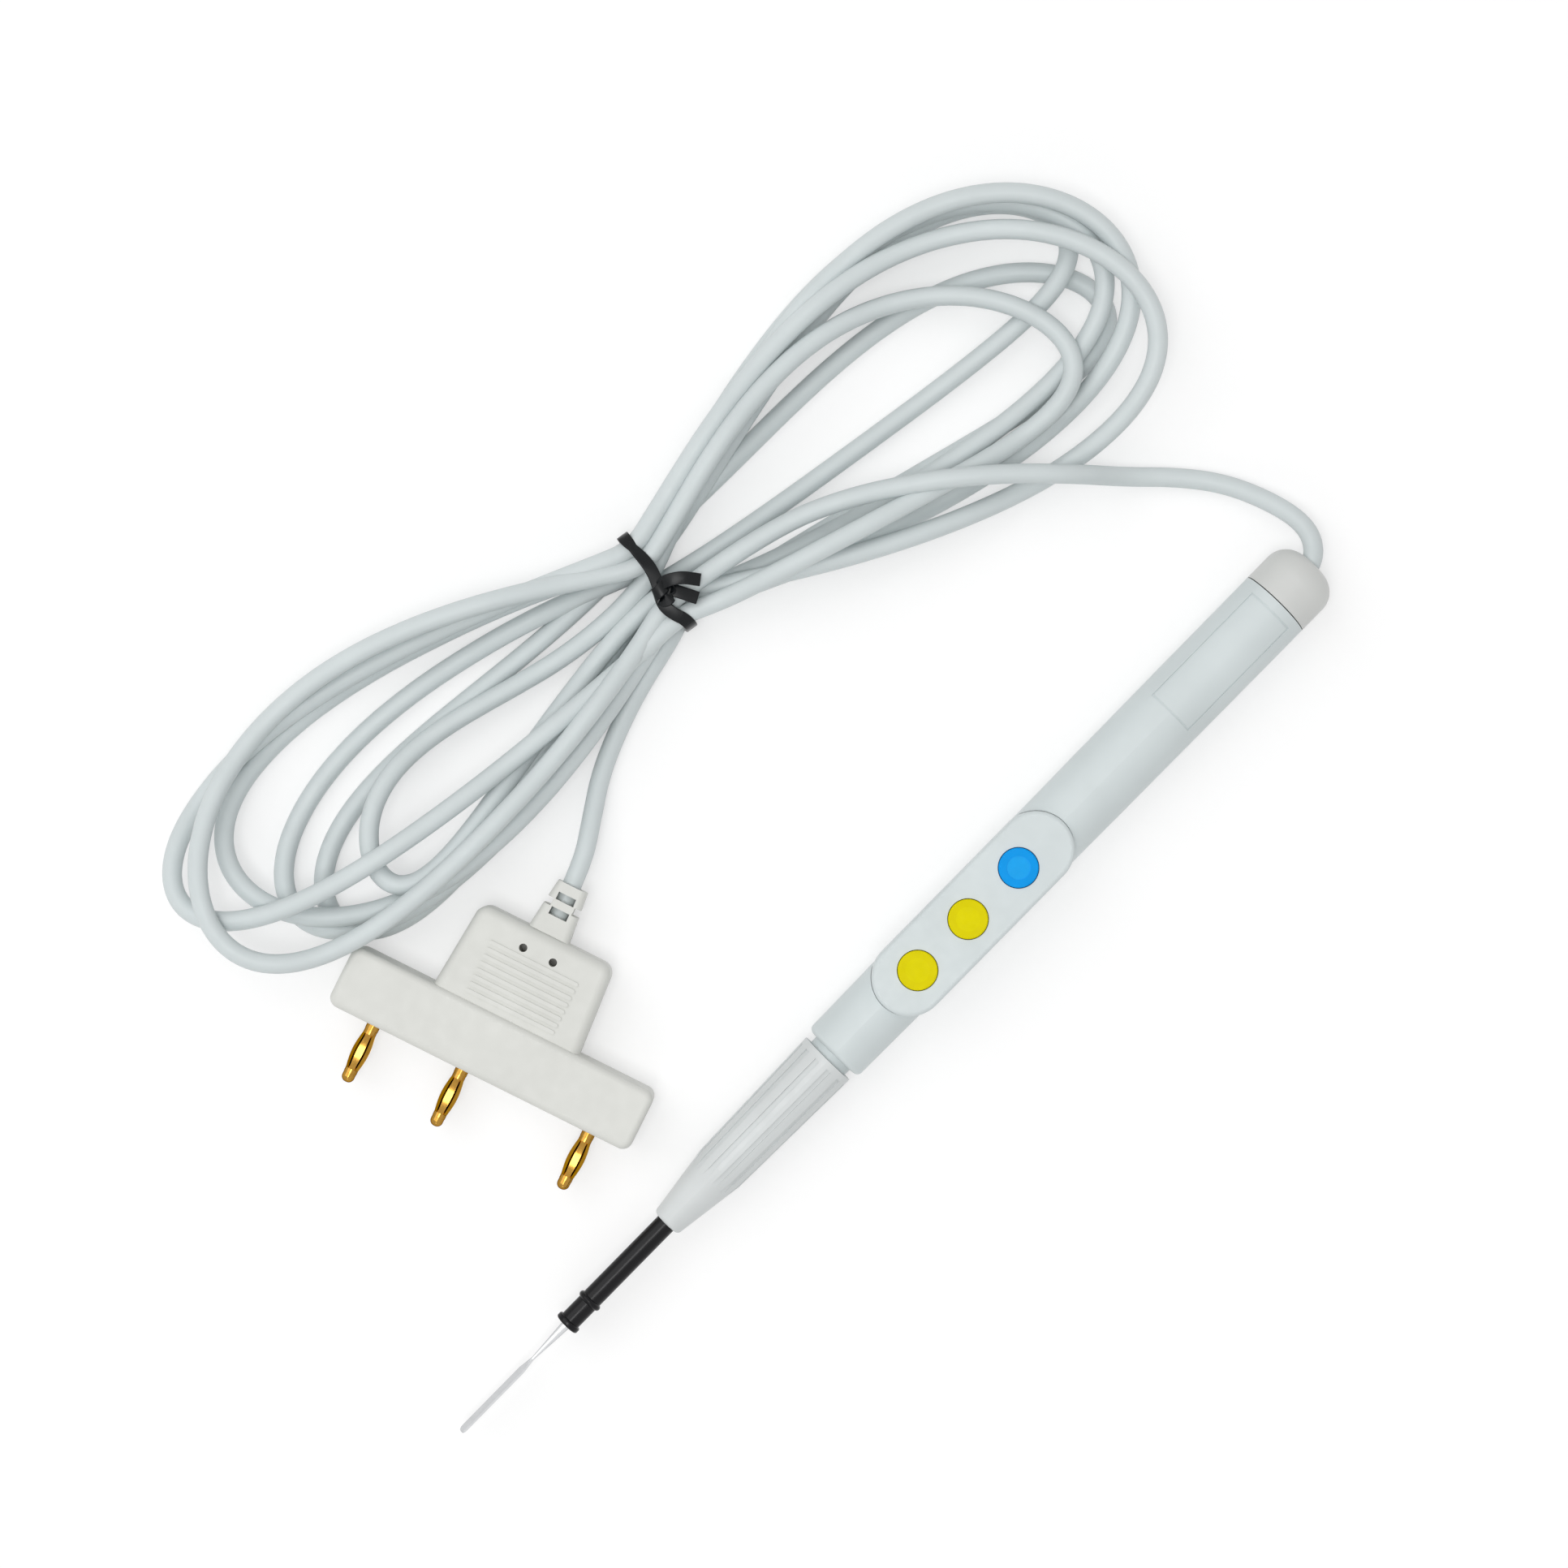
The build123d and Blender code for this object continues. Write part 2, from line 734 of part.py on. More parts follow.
def make_cord(name, route, diameter):
    """Round cord along straight runs joined by tangent bends."""
    radii = bend_radii(route)
    with BuildPart() as cord:
        with BuildLine() as path:
            FilletPolyline(*route, radius=radii)
        with BuildSketch(Plane(origin=route[0], z_dir=route[1] - route[0])):
            Circle(diameter / 2)
        sweep(path=path.line)
    cord.part.label = name
    length = sum(edge.length for edge in path.edges())
    swept = pi * diameter**2 / 4 * length
    print(name, "length", round(length, 1), "bends", [round(radius, 1) for radius in radii])
    print(name, "volume over section times length", round(cord.part.volume / swept, 4))
    return cord


cord_pencil_run = make_cord("cord_pencil_run", pencil_route, cord_diameter)
cord_plug_run = make_cord("cord_plug_run", plug_route, cord_diameter)

# Inner leads: two from the cord's end to the board, one under the tray to the socket
cord_tail_x = cord_exit.X - cord_tail
board_lead_z = board_bottom_z - lead_r


def make_lead(name, points):
    """Insulated inner lead along a route with even bends."""
    with BuildPart() as lead:
        with BuildLine() as path:
            FilletPolyline(*points, radius=lead_bend)
        with BuildSketch(Plane(origin=points[0], z_dir=Vector(points[1]) - Vector(points[0]))):
            Circle(lead_r)
        sweep(path=path.line)
    lead.part.label = name
    return lead


def board_lead_route(across):
    """From the cord's end, slack between, to the underside of the board."""
    slack_across = across * lead_slack
    return [
        (cord_tail_x, across, board_lead_z),
        (cord_tail_x - 2 * lead_step, slack_across, board_lead_z - lead_r),
        (board_rear_x + 2 * lead_step, slack_across, board_lead_z - lead_r),
        (board_rear_x, across, board_lead_z),
        (board_rear_x - lead_step, across, board_lead_z),
    ]


lead_cut = make_lead("lead_cut", board_lead_route(-lead_spacing / 2))
lead_coag = make_lead("lead_coag", board_lead_route(lead_spacing / 2))
tray_lead_z = axis_height - carrier_r + carrier_wall + lead_r
tray_ramp = 2 * lead_step
lead_active = make_lead(
    "lead_active",
    [
        (cord_tail_x, 0, axis_height - lead_spacing / 2),
        (board_rear_x + 2 * tray_ramp, 0, axis_height - lead_spacing / 2),
        (board_rear_x + tray_ramp, 0, tray_lead_z),
        (carrier_front_x, 0, tray_lead_z),
        (socket_rear_x + lead_to_socket, 0, axis_height),
        (front_wall_x, 0, axis_height),
    ],
)

# Hank: one closed form of the bundle, two open lobes and a waist that the tie squeezes
hank_middle = from_exit(-106.0, 102.0, 0)
hank_plane = Plane(origin=hank_middle, x_dir=(1, 0, 0), z_dir=(0, 0, 1))
# Each round is the x and y of a bend's middle from the tie, and its radius
pencil_lobe = [(93, -15, 36.5)]
plug_lobe = [(-103, 19, 24.5), (-76, -2, 17)]
pencil_lobe_hole = [(84, -14, 12.5), (46, -6, 4)]
plug_lobe_hole = [(-84, 6, 8), (-58, 4, 4)]


def draw_rounds(rounds):
    """Circles of a lobe, in the sketch that is open."""
    for x, y, radius in rounds:
        with Locations((x, y)):
            Circle(radius)


# Tie frame: x along the bundle, y across it
tie_bundle = Plane(origin=hank_middle, z_dir=(0, 0, 1)).rotated((0, 0, tie_turn))
tie_section = Plane(
    origin=hank_middle + Vector(0, 0, tie_floor_gap + tie_thickness + tie_inner_height / 2),
    x_dir=tie_bundle.y_dir,
    z_dir=tie_bundle.x_dir,
)
tie_outer_width = tie_inner_width + 2 * tie_thickness
tie_outer_height = tie_inner_height + 2 * tie_thickness
tie_knot_z = hank_height + 2 * tie_clearance

with BuildPart() as cord_hank:
    for lobe in (pencil_lobe, plug_lobe):
        with BuildSketch(hank_plane):
            draw_rounds(lobe)
            Rectangle(hank_waist_length, hank_waist_width, rotation=tie_turn)
            make_hull()
        extrude(amount=hank_height)
    for hole in (pencil_lobe_hole, plug_lobe_hole):
        with BuildSketch(hank_plane):
            draw_rounds(hole)
            make_hull()
        extrude(amount=hank_height, mode=Mode.SUBTRACT)
    with BuildSketch(tie_section):
        Rectangle(4 * tie_outer_width, 4 * tie_outer_height)
        RectangleRounded(
            tie_inner_width - 2 * tie_clearance,
            tie_inner_height - 2 * tie_clearance,
            tie_corner - tie_clearance,
            mode=Mode.SUBTRACT,
        )
    extrude(amount=tie_width / 2 + tie_clearance, both=True, mode=Mode.SUBTRACT)
cord_hank.part.label = "cord_hank"

# Twist tie: flat band round the waist, knot on top and two cut ends
with BuildPart() as hank_tie:
    with BuildSketch(tie_section):
        RectangleRounded(tie_outer_width, tie_outer_height, tie_corner + tie_thickness)
        RectangleRounded(tie_inner_width, tie_inner_height, tie_corner, mode=Mode.SUBTRACT)
    extrude(amount=tie_width / 2, both=True)
    with BuildSketch(hank_plane.offset(tie_knot_z)):
        Circle(tie_knot_diameter / 2)
    extrude(amount=tie_knot_height)
    fillet(hank_tie.faces().sort_by(Axis.Z)[-1].edges(), tie_knot_round)
    for angle in tie_tail_angles:
        with BuildSketch(hank_plane.offset(tie_knot_z).rotated((0, 0, angle))):
            Rectangle(tie_tail_length, tie_width, align=(Align.MIN, Align.CENTER))
        extrude(amount=tie_thickness)
hank_tie.part.label = "hank_tie"

# Plug housing: tapered gripping block run into the moulded bar
pin_shank_r = pin_shank_diameter / 2
pin_places = {
    "left": pin_offset - (pin_spacing_narrow + pin_spacing_wide) / 2,
    "middle": pin_offset + (pin_spacing_narrow - pin_spacing_wide) / 2,
    "right": pin_offset + (pin_spacing_narrow + pin_spacing_wide) / 2,
}
grip_middle = handle_rear + vent_to_rear + (handle_length - vent_to_rear) / 2

with BuildPart() as plug_housing:
    with BuildSketch(plug_plane.offset(-handle_thickness / 2)) as handle_outline:
        with BuildLine():
            Polyline(
                (handle_rear, handle_rear_width / 2),
                (bar_rear + handle_in_bar, handle_front_width / 2),
                (bar_rear + handle_in_bar, -handle_front_width / 2),
                (handle_rear, -handle_rear_width / 2),
                close=True,
            )
        make_face()
        rear_corners = handle_outline.vertices().sort_by(Axis.X)[0:2]
        fillet(rear_corners, handle_corner)
    extrude(amount=handle_thickness)
    handle_faces = plug_housing.faces().sort_by(Axis.Z)
    fillet(handle_faces[0].edges() + handle_faces[-1].edges(), handle_edge_round)
    with BuildSketch(plug_plane.offset(handle_thickness / 2 - grip_rib_height)):
        with Locations((grip_middle, 0)):
            with GridLocations(grip_rib_pitch, 0, grip_ribs, 1):
                SlotOverall(grip_rib_length, grip_rib_width, rotation=90)
    extrude(amount=2 * grip_rib_height)
    with BuildSketch(plug_plane.offset(-bar_thickness / 2)):
        with Locations((bar_rear + bar_depth / 2, 0)):
            RectangleRounded(bar_depth, bar_length, bar_corner)
    extrude(amount=bar_thickness)
    bar_faces = plug_housing.faces().sort_by(Axis.Z)
    fillet(bar_faces[0].edges() + bar_faces[-1].edges(), bar_edge_round)
    with BuildSketch(plug_plane.offset(handle_thickness / 2 + grip_rib_height)):
        with Locations((handle_rear + vent_to_rear, 0)):
            with GridLocations(0, vent_spacing, 1, 2):
                Circle(vent_diameter / 2)
    extrude(amount=-vent_depth, mode=Mode.SUBTRACT)
    with BuildSketch(plug_section(handle_rear)):
        Circle(cord_r + cord_hole_clearance)
    extrude(amount=cord_in_handle, mode=Mode.SUBTRACT)
    with BuildSketch(plug_section(bar_front)):
        with Locations([(across, 0) for across in pin_places.values()]):
            Circle(pin_shank_r + pin_fit_clearance)
    extrude(amount=-pin_shank_length, mode=Mode.SUBTRACT)
plug_housing.part.label = "plug_housing"

# Plug boot: tapered strain relief with windows above and below and notches in its sides
with BuildPart() as plug_boot:
    with BuildSketch(plug_section(0)):
        RectangleRounded(boot_rear_width, boot_rear_height, boot_corner)
    with BuildSketch(plug_section(boot_length)):
        RectangleRounded(boot_front_width, boot_front_height, boot_corner)
    loft()
    with BuildSketch(plug_section(0)):
        Circle(cord_r + cord_hole_clearance)
    extrude(amount=boot_length, mode=Mode.SUBTRACT)
    with BuildSketch(plug_plane.offset(-boot_front_height)):
        with Locations((boot_first_window + boot_window_pitch / 2, 0)):
            with GridLocations(boot_window_pitch, 0, 2, 1):
                Rectangle(boot_window_length, boot_window_width)
        with Locations((boot_first_window + boot_window_pitch / 2, 0)):
            with GridLocations(0, boot_front_width + boot_rear_width - 2 * boot_notch_depth, 1, 2):
                Rectangle(boot_window_length, boot_front_width)
    extrude(amount=2 * boot_front_height, mode=Mode.SUBTRACT)
plug_boot.part.label = "plug_boot"

# Lantern pins: turned core with a rounded head, and a slotted sheet spring round it
pin_root_r = pin_root_diameter / 2
pin_core_r = pin_core_diameter / 2
pin_tip_r = pin_tip_diameter / 2
pin_tip_start = pin_length - pin_tip_length
lantern_r = lantern_diameter / 2
collar_r = pin_core_r + pin_fit_clearance
lantern_start = pin_root_length + pin_fit_clearance
lantern_end = pin_tip_start - pin_fit_clearance
lantern_middle = (lantern_start + lantern_end) / 2


def pin_frame(across, turn=0.0):
    """Plane through a pin's axis, from the face of the bar: x along the pin, y its radius."""
    side = plug_plane.y_dir * -cos(radians(turn)) + plug_plane.z_dir * sin(radians(turn))
    return Plane(origin=plug_point(bar_front, across), x_dir=plug_plane.x_dir, z_dir=side)


def make_pin_core(across):
    """Turned pin: shank in the bar, root collar, thin core and rounded head."""
    with BuildPart() as core:
        with BuildSketch(pin_frame(across)) as core_section:
            with BuildLine():
                Polyline(
                    (-pin_shank_length, 0),
                    (-pin_shank_length, pin_shank_r),
                    (0, pin_shank_r),
                    (0, pin_root_r),
                    (pin_root_length, pin_root_r),
                    (pin_root_length, pin_core_r),
                    (pin_tip_start, pin_core_r),
                    (pin_tip_start, pin_tip_r),
                    (pin_length, pin_tip_r),
                    (pin_length, 0),
                    close=True,
                )
            make_face()
            head = core_section.vertices().sort_by_distance((pin_length, pin_tip_r))[0]
            fillet(head, pin_tip_round)
        revolve(axis=Axis(plug_point(bar_front, across), plug_plane.x_dir))
    return core


def make_pin_spring(across):
    """Barrel of sheet spring: a collar at each end, a straight land and slots between its bars."""
    outer = [
        (lantern_start, collar_r + lantern_sheet),
        (lantern_start + lantern_collar, collar_r + lantern_sheet),
        (lantern_middle - lantern_land / 2, lantern_r),
        (lantern_middle + lantern_land / 2, lantern_r),
        (lantern_end - lantern_collar, collar_r + lantern_sheet),
        (lantern_end, collar_r + lantern_sheet),
    ]
    inner = [(x, radius - lantern_sheet) for x, radius in reversed(outer)]
    with BuildPart() as spring:
        with BuildSketch(pin_frame(across)):
            with BuildLine():
                Polyline(*outer, *inner, close=True)
            make_face()
        revolve(axis=Axis(plug_point(bar_front, across), plug_plane.x_dir))
        turns = [(slot + 0.5) * 360 / lantern_slots for slot in range(lantern_slots)]
        with BuildSketch(*[pin_frame(across, turn) for turn in turns]):
            with Locations((lantern_middle, pin_core_r)):
                Rectangle(
                    lantern_end - lantern_start - 2 * lantern_collar,
                    lantern_r,
                    align=(Align.CENTER, Align.MIN),
                )
        extrude(amount=lantern_slot_width / 2, both=True, mode=Mode.SUBTRACT)
    return spring


# Write every piece
os.makedirs("parts", exist_ok=True)
export_step(handle_shell.part, "parts/handle_shell.step")
export_step(button_panel.part, "parts/button_panel.step")
export_step(switch_board.part, "parts/switch_board.step")
export_step(board_carrier.part, "parts/board_carrier.step")
export_step(contact_socket.part, "parts/contact_socket.step")
export_step(collet.part, "parts/collet.step")
export_step(chuck_nose.part, "parts/chuck_nose.step")
export_step(nose_seal.part, "parts/nose_seal.step")
export_step(electrode_blade.part, "parts/electrode_blade.step")
export_step(electrode_sleeve.part, "parts/electrode_sleeve.step")
export_step(end_cap.part, "parts/end_cap.step")
export_step(cap_seal.part, "parts/cap_seal.step")
export_step(cable_clamp.part, "parts/cable_clamp.step")
export_step(lead_active.part, "parts/lead_active.step")
export_step(lead_cut.part, "parts/lead_cut.step")
export_step(lead_coag.part, "parts/lead_coag.step")
export_step(cord_pencil_run.part, "parts/cord_pencil_run.step")
export_step(cord_hank.part, "parts/cord_hank.step")
export_step(cord_plug_run.part, "parts/cord_plug_run.step")
export_step(hank_tie.part, "parts/hank_tie.step")
export_step(plug_housing.part, "parts/plug_housing.step")
export_step(plug_boot.part, "parts/plug_boot.step")

for place, x in button_places.items():
    button = make_button(x, dished=place == "rear")
    button.part.label = f"button_{place}"
    export_step(button.part, f"parts/button_{place}.step")
    switch = make_switch(x)
    switch.part.label = f"switch_{place}"
    export_step(switch.part, f"parts/switch_{place}.step")

for place, across in pin_places.items():
    core = make_pin_core(across)
    core.part.label = f"pin_core_{place}"
    export_step(core.part, f"parts/pin_core_{place}.step")
    spring = make_pin_spring(across)
    spring.part.label = f"pin_spring_{place}"
    export_step(spring.part, f"parts/pin_spring_{place}.step")
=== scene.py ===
"""Electrosurgical pencil on its tied hank of cord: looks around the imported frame."""

import json
import logging
import math
from dataclasses import dataclass
from enum import Enum
from typing import Iterable, Sequence

import bmesh
import bpy
import numpy as np
from mathutils import Matrix, Vector


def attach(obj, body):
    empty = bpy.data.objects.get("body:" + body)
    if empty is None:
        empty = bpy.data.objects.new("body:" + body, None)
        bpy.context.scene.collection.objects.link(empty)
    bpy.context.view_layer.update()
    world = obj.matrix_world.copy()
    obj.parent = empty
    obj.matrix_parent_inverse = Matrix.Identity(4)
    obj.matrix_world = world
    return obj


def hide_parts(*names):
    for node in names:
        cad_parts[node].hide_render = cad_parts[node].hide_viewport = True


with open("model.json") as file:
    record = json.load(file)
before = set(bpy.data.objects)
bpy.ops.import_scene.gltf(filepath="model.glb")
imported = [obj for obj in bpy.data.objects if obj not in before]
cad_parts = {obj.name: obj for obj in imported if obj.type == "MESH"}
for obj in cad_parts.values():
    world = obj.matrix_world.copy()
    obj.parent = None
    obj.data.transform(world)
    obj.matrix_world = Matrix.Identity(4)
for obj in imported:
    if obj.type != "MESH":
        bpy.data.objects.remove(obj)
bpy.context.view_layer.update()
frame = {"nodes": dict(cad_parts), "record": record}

Colour = tuple[float, float, float]
Point = tuple[float, float, float]
Spot = tuple[float, float]
Span = tuple[float, float]

LOG = logging.getLogger("pencil")
MM = 0.001
# Body that every piece made here rides on
HANDLE = "handle"
WHITE = (1.0, 1.0, 1.0, 1.0)
SEEN_RAYS = ("Is Camera Ray", "Is Glossy Ray", "Is Transmission Ray")

# Places that several pieces share: the tie's middle on the floor and the plug's own frame
TIE_PLACE = (30.0 * MM, 102.0 * MM)
BUNDLE_TURN = math.radians(-9.4)
PLUG_ORIGIN = (-31.4 * MM, 67.7 * MM, 7.0 * MM)
PLUG_TURN = math.radians(198.0)
# Nodes of the plug, at the cord's end, and the pins' places across it
PLUG_NODES = ("plug_housing", "plug_boot", "pin_core_left", "pin_core_middle", "pin_core_right")
PIN_PLACES = {"left": -26.175 * MM, "middle": -3.975 * MM, "right": 27.775 * MM}


class Grain(Enum):
    """Direction in which a finish is drawn out, as scales along the three axes."""

    EVEN = (1.0, 1.0, 1.0)
    ALONG_PENCIL = (0.02, 1.0, 1.0)
    ROUND_PENCIL = (1.0, 0.04, 0.04)
    ALONG_PLUG = (0.05, 1.0, 1.0)


def shade(colour: Colour, factor: float) -> Colour:
    """Lighter or darker tone of a colour.

    Args:
        colour: Linear colour.
        factor: Multiplier.

    Returns:
        The multiplied colour, no brighter than white.
    """
    return tuple(min(1.0, part * factor) for part in colour)


class NodeBench:
    """Node tree under construction, with its shader and a few often used nodes."""

    # Sockets of a colour Mix node, several of which share their names
    FACTOR, FIRST, SECOND, MIXED = 0, 6, 7, 2
    # Middle of a noise's range, which holds most of its values
    NOISE_SPAN = (0.3, 0.7)

    def __init__(
        self, holder: bpy.types.Material | bpy.types.World, shader: str = "Principled BSDF"
    ) -> None:
        """Starts on a new material or world.

        Args:
            holder: What the node tree belongs to.
            shader: Name of the shader that its tree starts with.
        """
        holder.use_nodes = True
        self.holder = holder
        self.tree = holder.node_tree
        self.shader = self.tree.nodes[shader]

    def add(self, kind: str, **settings: object) -> bpy.types.Node:
        """Adds a node.

        Args:
            kind: Node type without its ShaderNode prefix.
            settings: Attributes to set on the node.

        Returns:
            The new node.
        """
        node = self.tree.nodes.new("ShaderNode" + kind)
        for key, value in settings.items():
            setattr(node, key, value)
        return node

    def join(self, source: bpy.types.NodeSocket, target: bpy.types.NodeSocket) -> None:
        """Links two sockets."""
        self.tree.links.new(source, target)

    def feed(self, name: str, source: bpy.types.NodeSocket) -> None:
        """Links a socket to one of the shader's own."""
        self.join(source, self.shader.inputs[name])

    def put(self, **values: object) -> None:
        """Sets uniform values on the shader's own sockets, with underscores for spaces."""
        for key, value in values.items():
            self.shader.inputs[key.replace("_", " ")].default_value = value

    def coordinates(self, grain: Grain = Grain.EVEN, turn: float = 0.0) -> bpy.types.NodeSocket:
        """Object coordinates, turned and drawn out along the grain.

        Args:
            grain: Direction in which the pattern is drawn out.
            turn: Turn about the vertical in radians, taken off before the stretch.

        Returns:
            Vector socket of the mapped coordinates.
        """
        place = self.add("TexCoord")
        turned = self.add("Mapping", vector_type="TEXTURE")
        turned.inputs["Rotation"].default_value = (0.0, 0.0, turn)
        self.join(place.outputs["Object"], turned.inputs["Vector"])
        drawn = self.add("Mapping", vector_type="POINT")
        drawn.inputs["Scale"].default_value = grain.value
        self.join(turned.outputs["Vector"], drawn.inputs["Vector"])
        return drawn.outputs["Vector"]

    def noise(
        self, vector: bpy.types.NodeSocket, scale: float, detail: float = 3.0, roughness: float = 0.5
    ) -> bpy.types.NodeSocket:
        """Fractal noise on given coordinates.

        Args:
            vector: Coordinates in metres.
            scale: Cells to the metre.
            detail: Octaves.
            roughness: Weight of the finer octaves.

        Returns:
            Factor socket of the noise.
        """
        node = self.add("TexNoise")
        node.inputs["Scale"].default_value = scale
        node.inputs["Detail"].default_value = detail
        node.inputs["Roughness"].default_value = roughness
        self.join(vector, node.inputs["Vector"])
        return node.outputs[0]

    def ramp(
        self,
        value: bpy.types.NodeSocket,
        span: Span,
        low: float = 0.0,
        high: float = 1.0,
        smooth: bool = False,
    ) -> bpy.types.NodeSocket:
        """Maps a span of values onto two limits, which hold beyond it.

        Args:
            value: Value to map.
            span: Values that give the limits.
            low: Result at the span's start.
            high: Result at the span's end.
            smooth: Whether the change starts and ends gently.

        Returns:
            Socket of the mapped value.
        """
        node = self.add("MapRange", interpolation_type="SMOOTHSTEP" if smooth else "LINEAR")
        for name, number in zip(("From Min", "From Max", "To Min", "To Max"), (*span, low, high)):
            node.inputs[name].default_value = number
        self.join(value, node.inputs["Value"])
        return node.outputs["Result"]

    def spread(
        self, noise: bpy.types.NodeSocket, low: float = 0.0, high: float = 1.0
    ) -> bpy.types.NodeSocket:
        """Maps the middle of a noise's range onto two limits."""
        return self.ramp(noise, self.NOISE_SPAN, low, high)

    def mix(
        self,
        factor: bpy.types.NodeSocket,
        first: Colour | bpy.types.NodeSocket,
        second: Colour | bpy.types.NodeSocket,
    ) -> bpy.types.NodeSocket:
        """Mixes two tones.

        Args:
            factor: Share of the second tone.
            first: Colour, or the socket of one.
            second: Colour, or the socket of one.

        Returns:
            Colour socket of the mixture.
        """
        node = self.add("Mix", data_type="RGBA")
        self.join(factor, node.inputs[self.FACTOR])
        for place, tone in ((self.FIRST, first), (self.SECOND, second)):
            if isinstance(tone, tuple):
                node.inputs[place].default_value = (*tone, 1.0)
            else:
                self.join(tone, node.inputs[place])
        return node.outputs[self.MIXED]

    def clouded(
        self, factor: bpy.types.NodeSocket, colour: Colour, darker: float, lighter: float
    ) -> bpy.types.NodeSocket:
        """Colour that varies between a darker and a lighter tone of itself.

        Args:
            factor: Share of the lighter tone.
            colour: Colour between the two.
            darker: Multiplier of the darker tone.
            lighter: Multiplier of the lighter tone.

        Returns:
            Colour socket.
        """
        return self.mix(factor, shade(colour, darker), shade(colour, lighter))

    def gather(self, operation: str, values: Sequence[bpy.types.NodeSocket]) -> bpy.types.NodeSocket:
        """Takes several values together, one after the other.

        Args:
            operation: Operation of the Math nodes between them.
            values: Sockets of the values.

        Returns:
            Socket of the result.
        """
        found = values[0]
        for value in values[1:]:
            node = self.add("Math", operation=operation)
            self.join(found, node.inputs[0])
            self.join(value, node.inputs[1])
            found = node.outputs[0]
        return found

    def seen(self) -> bpy.types.NodeSocket:
        """Socket that is 1 for rays from the camera, off gloss and through glass, otherwise 0."""
        path = self.add("LightPath")
        return self.gather("MAXIMUM", [path.outputs[kind] for kind in SEEN_RAYS])

    def relief(self, height: bpy.types.NodeSocket, depth: float, strength: float) -> None:
        """Gives the shader a bump on top of those it has.

        Args:
            height: Height factor.
            depth: Depth of the relief in metres.
            strength: Share of the bump that shows.
        """
        node = self.add("Bump")
        node.inputs["Distance"].default_value = depth
        node.inputs["Strength"].default_value = strength
        self.join(height, node.inputs["Height"])
        normal = self.shader.inputs["Normal"]
        if normal.is_linked:
            self.join(normal.links[0].from_socket, node.inputs["Normal"])
        self.join(node.outputs["Normal"], normal)


@dataclass(frozen=True)
class MouldedPlastic:
    """Satin moulded plastic: fine spark-eroded grain, faint clouding and handling sheen."""

    name: str
    colour: Colour
    clouding: float = 0.035
    cloud_scale: float = 60.0
    roughness: Span = (0.36, 0.5)
    sheen_scale: float = 340.0
    grain_scale: float = 5200.0
    grain_depth: float = 0.006 * MM
    grain_strength: float = 0.6
    sink_scale: float = 260.0
    sink_depth: float = 0.02 * MM
    sink_strength: float = 0.25
    specular: float = 0.42

    def build(self) -> bpy.types.Material:
        """Makes the material.

        Returns:
            The new material.
        """
        bench = NodeBench(bpy.data.materials.new(self.name))
        place = bench.coordinates()
        cloud = bench.spread(bench.noise(place, self.cloud_scale, detail=4.0))
        bench.feed("Base Color", bench.clouded(cloud, self.colour, 1 - self.clouding, 1 + self.clouding))
        bench.feed("Roughness", bench.spread(bench.noise(place, self.sheen_scale), *self.roughness))
        bench.relief(bench.noise(place, self.grain_scale, detail=2.0), self.grain_depth, self.grain_strength)
        bench.relief(bench.noise(place, self.sink_scale, detail=2.0), self.sink_depth, self.sink_strength)
        bench.put(Specular_IOR_Level=self.specular)
        return bench.holder


@dataclass(frozen=True)
class ButtonPlastic:
    """Coloured push button: smooth face with a faintly different round field in its middle."""

    name: str
    colour: Colour
    field_colour: Colour
    field_radius: float = 2.7 * MM
    field_edge: float = 0.12 * MM
    places: tuple[float, ...] = (9.4 * MM, 25.35 * MM, 41.3 * MM)
    tones: Span = (0.96, 1.03)
    cloud_scale: float = 420.0
    roughness: Span = (0.42, 0.56)
    sheen_scale: float = 900.0
    grain_scale: float = 7000.0
    grain_depth: float = 0.004 * MM
    grain_strength: float = 0.5
    specular: float = 0.06

    def outside_field(self, bench: NodeBench, place: bpy.types.NodeSocket) -> bpy.types.NodeSocket:
        """Tells the rim of a button from the field in its middle.

        Args:
            bench: Material under construction.
            place: Object coordinates.

        Returns:
            Socket that is 0 in the field of the nearest button and 1 outside it.
        """
        split = bench.add("SeparateXYZ")
        bench.join(place, split.inputs["Vector"])
        reaches = []
        for x in self.places:
            middle = bench.add("CombineXYZ")
            middle.inputs["X"].default_value = x
            bench.join(split.outputs["Z"], middle.inputs["Z"])
            reach = bench.add("VectorMath", operation="DISTANCE")
            bench.join(place, reach.inputs[0])
            bench.join(middle.outputs["Vector"], reach.inputs[1])
            reaches.append(reach.outputs["Value"])
        edge = (self.field_radius - self.field_edge, self.field_radius + self.field_edge)
        return bench.ramp(bench.gather("MINIMUM", reaches), edge, smooth=True)

    def build(self) -> bpy.types.Material:
        """Makes the material.

        Returns:
            The new material.
        """
        bench = NodeBench(bpy.data.materials.new(self.name))
        place = bench.coordinates()
        cloud = bench.spread(bench.noise(place, self.cloud_scale))
        inner = bench.clouded(cloud, self.field_colour, *self.tones)
        rim = bench.clouded(cloud, self.colour, *self.tones)
        bench.feed("Base Color", bench.mix(self.outside_field(bench, place), inner, rim))
        bench.feed("Roughness", bench.spread(bench.noise(place, self.sheen_scale), *self.roughness))
        bench.relief(bench.noise(place, self.grain_scale, detail=2.0), self.grain_depth, self.grain_strength)
        bench.put(Specular_IOR_Level=self.specular)
        return bench.holder


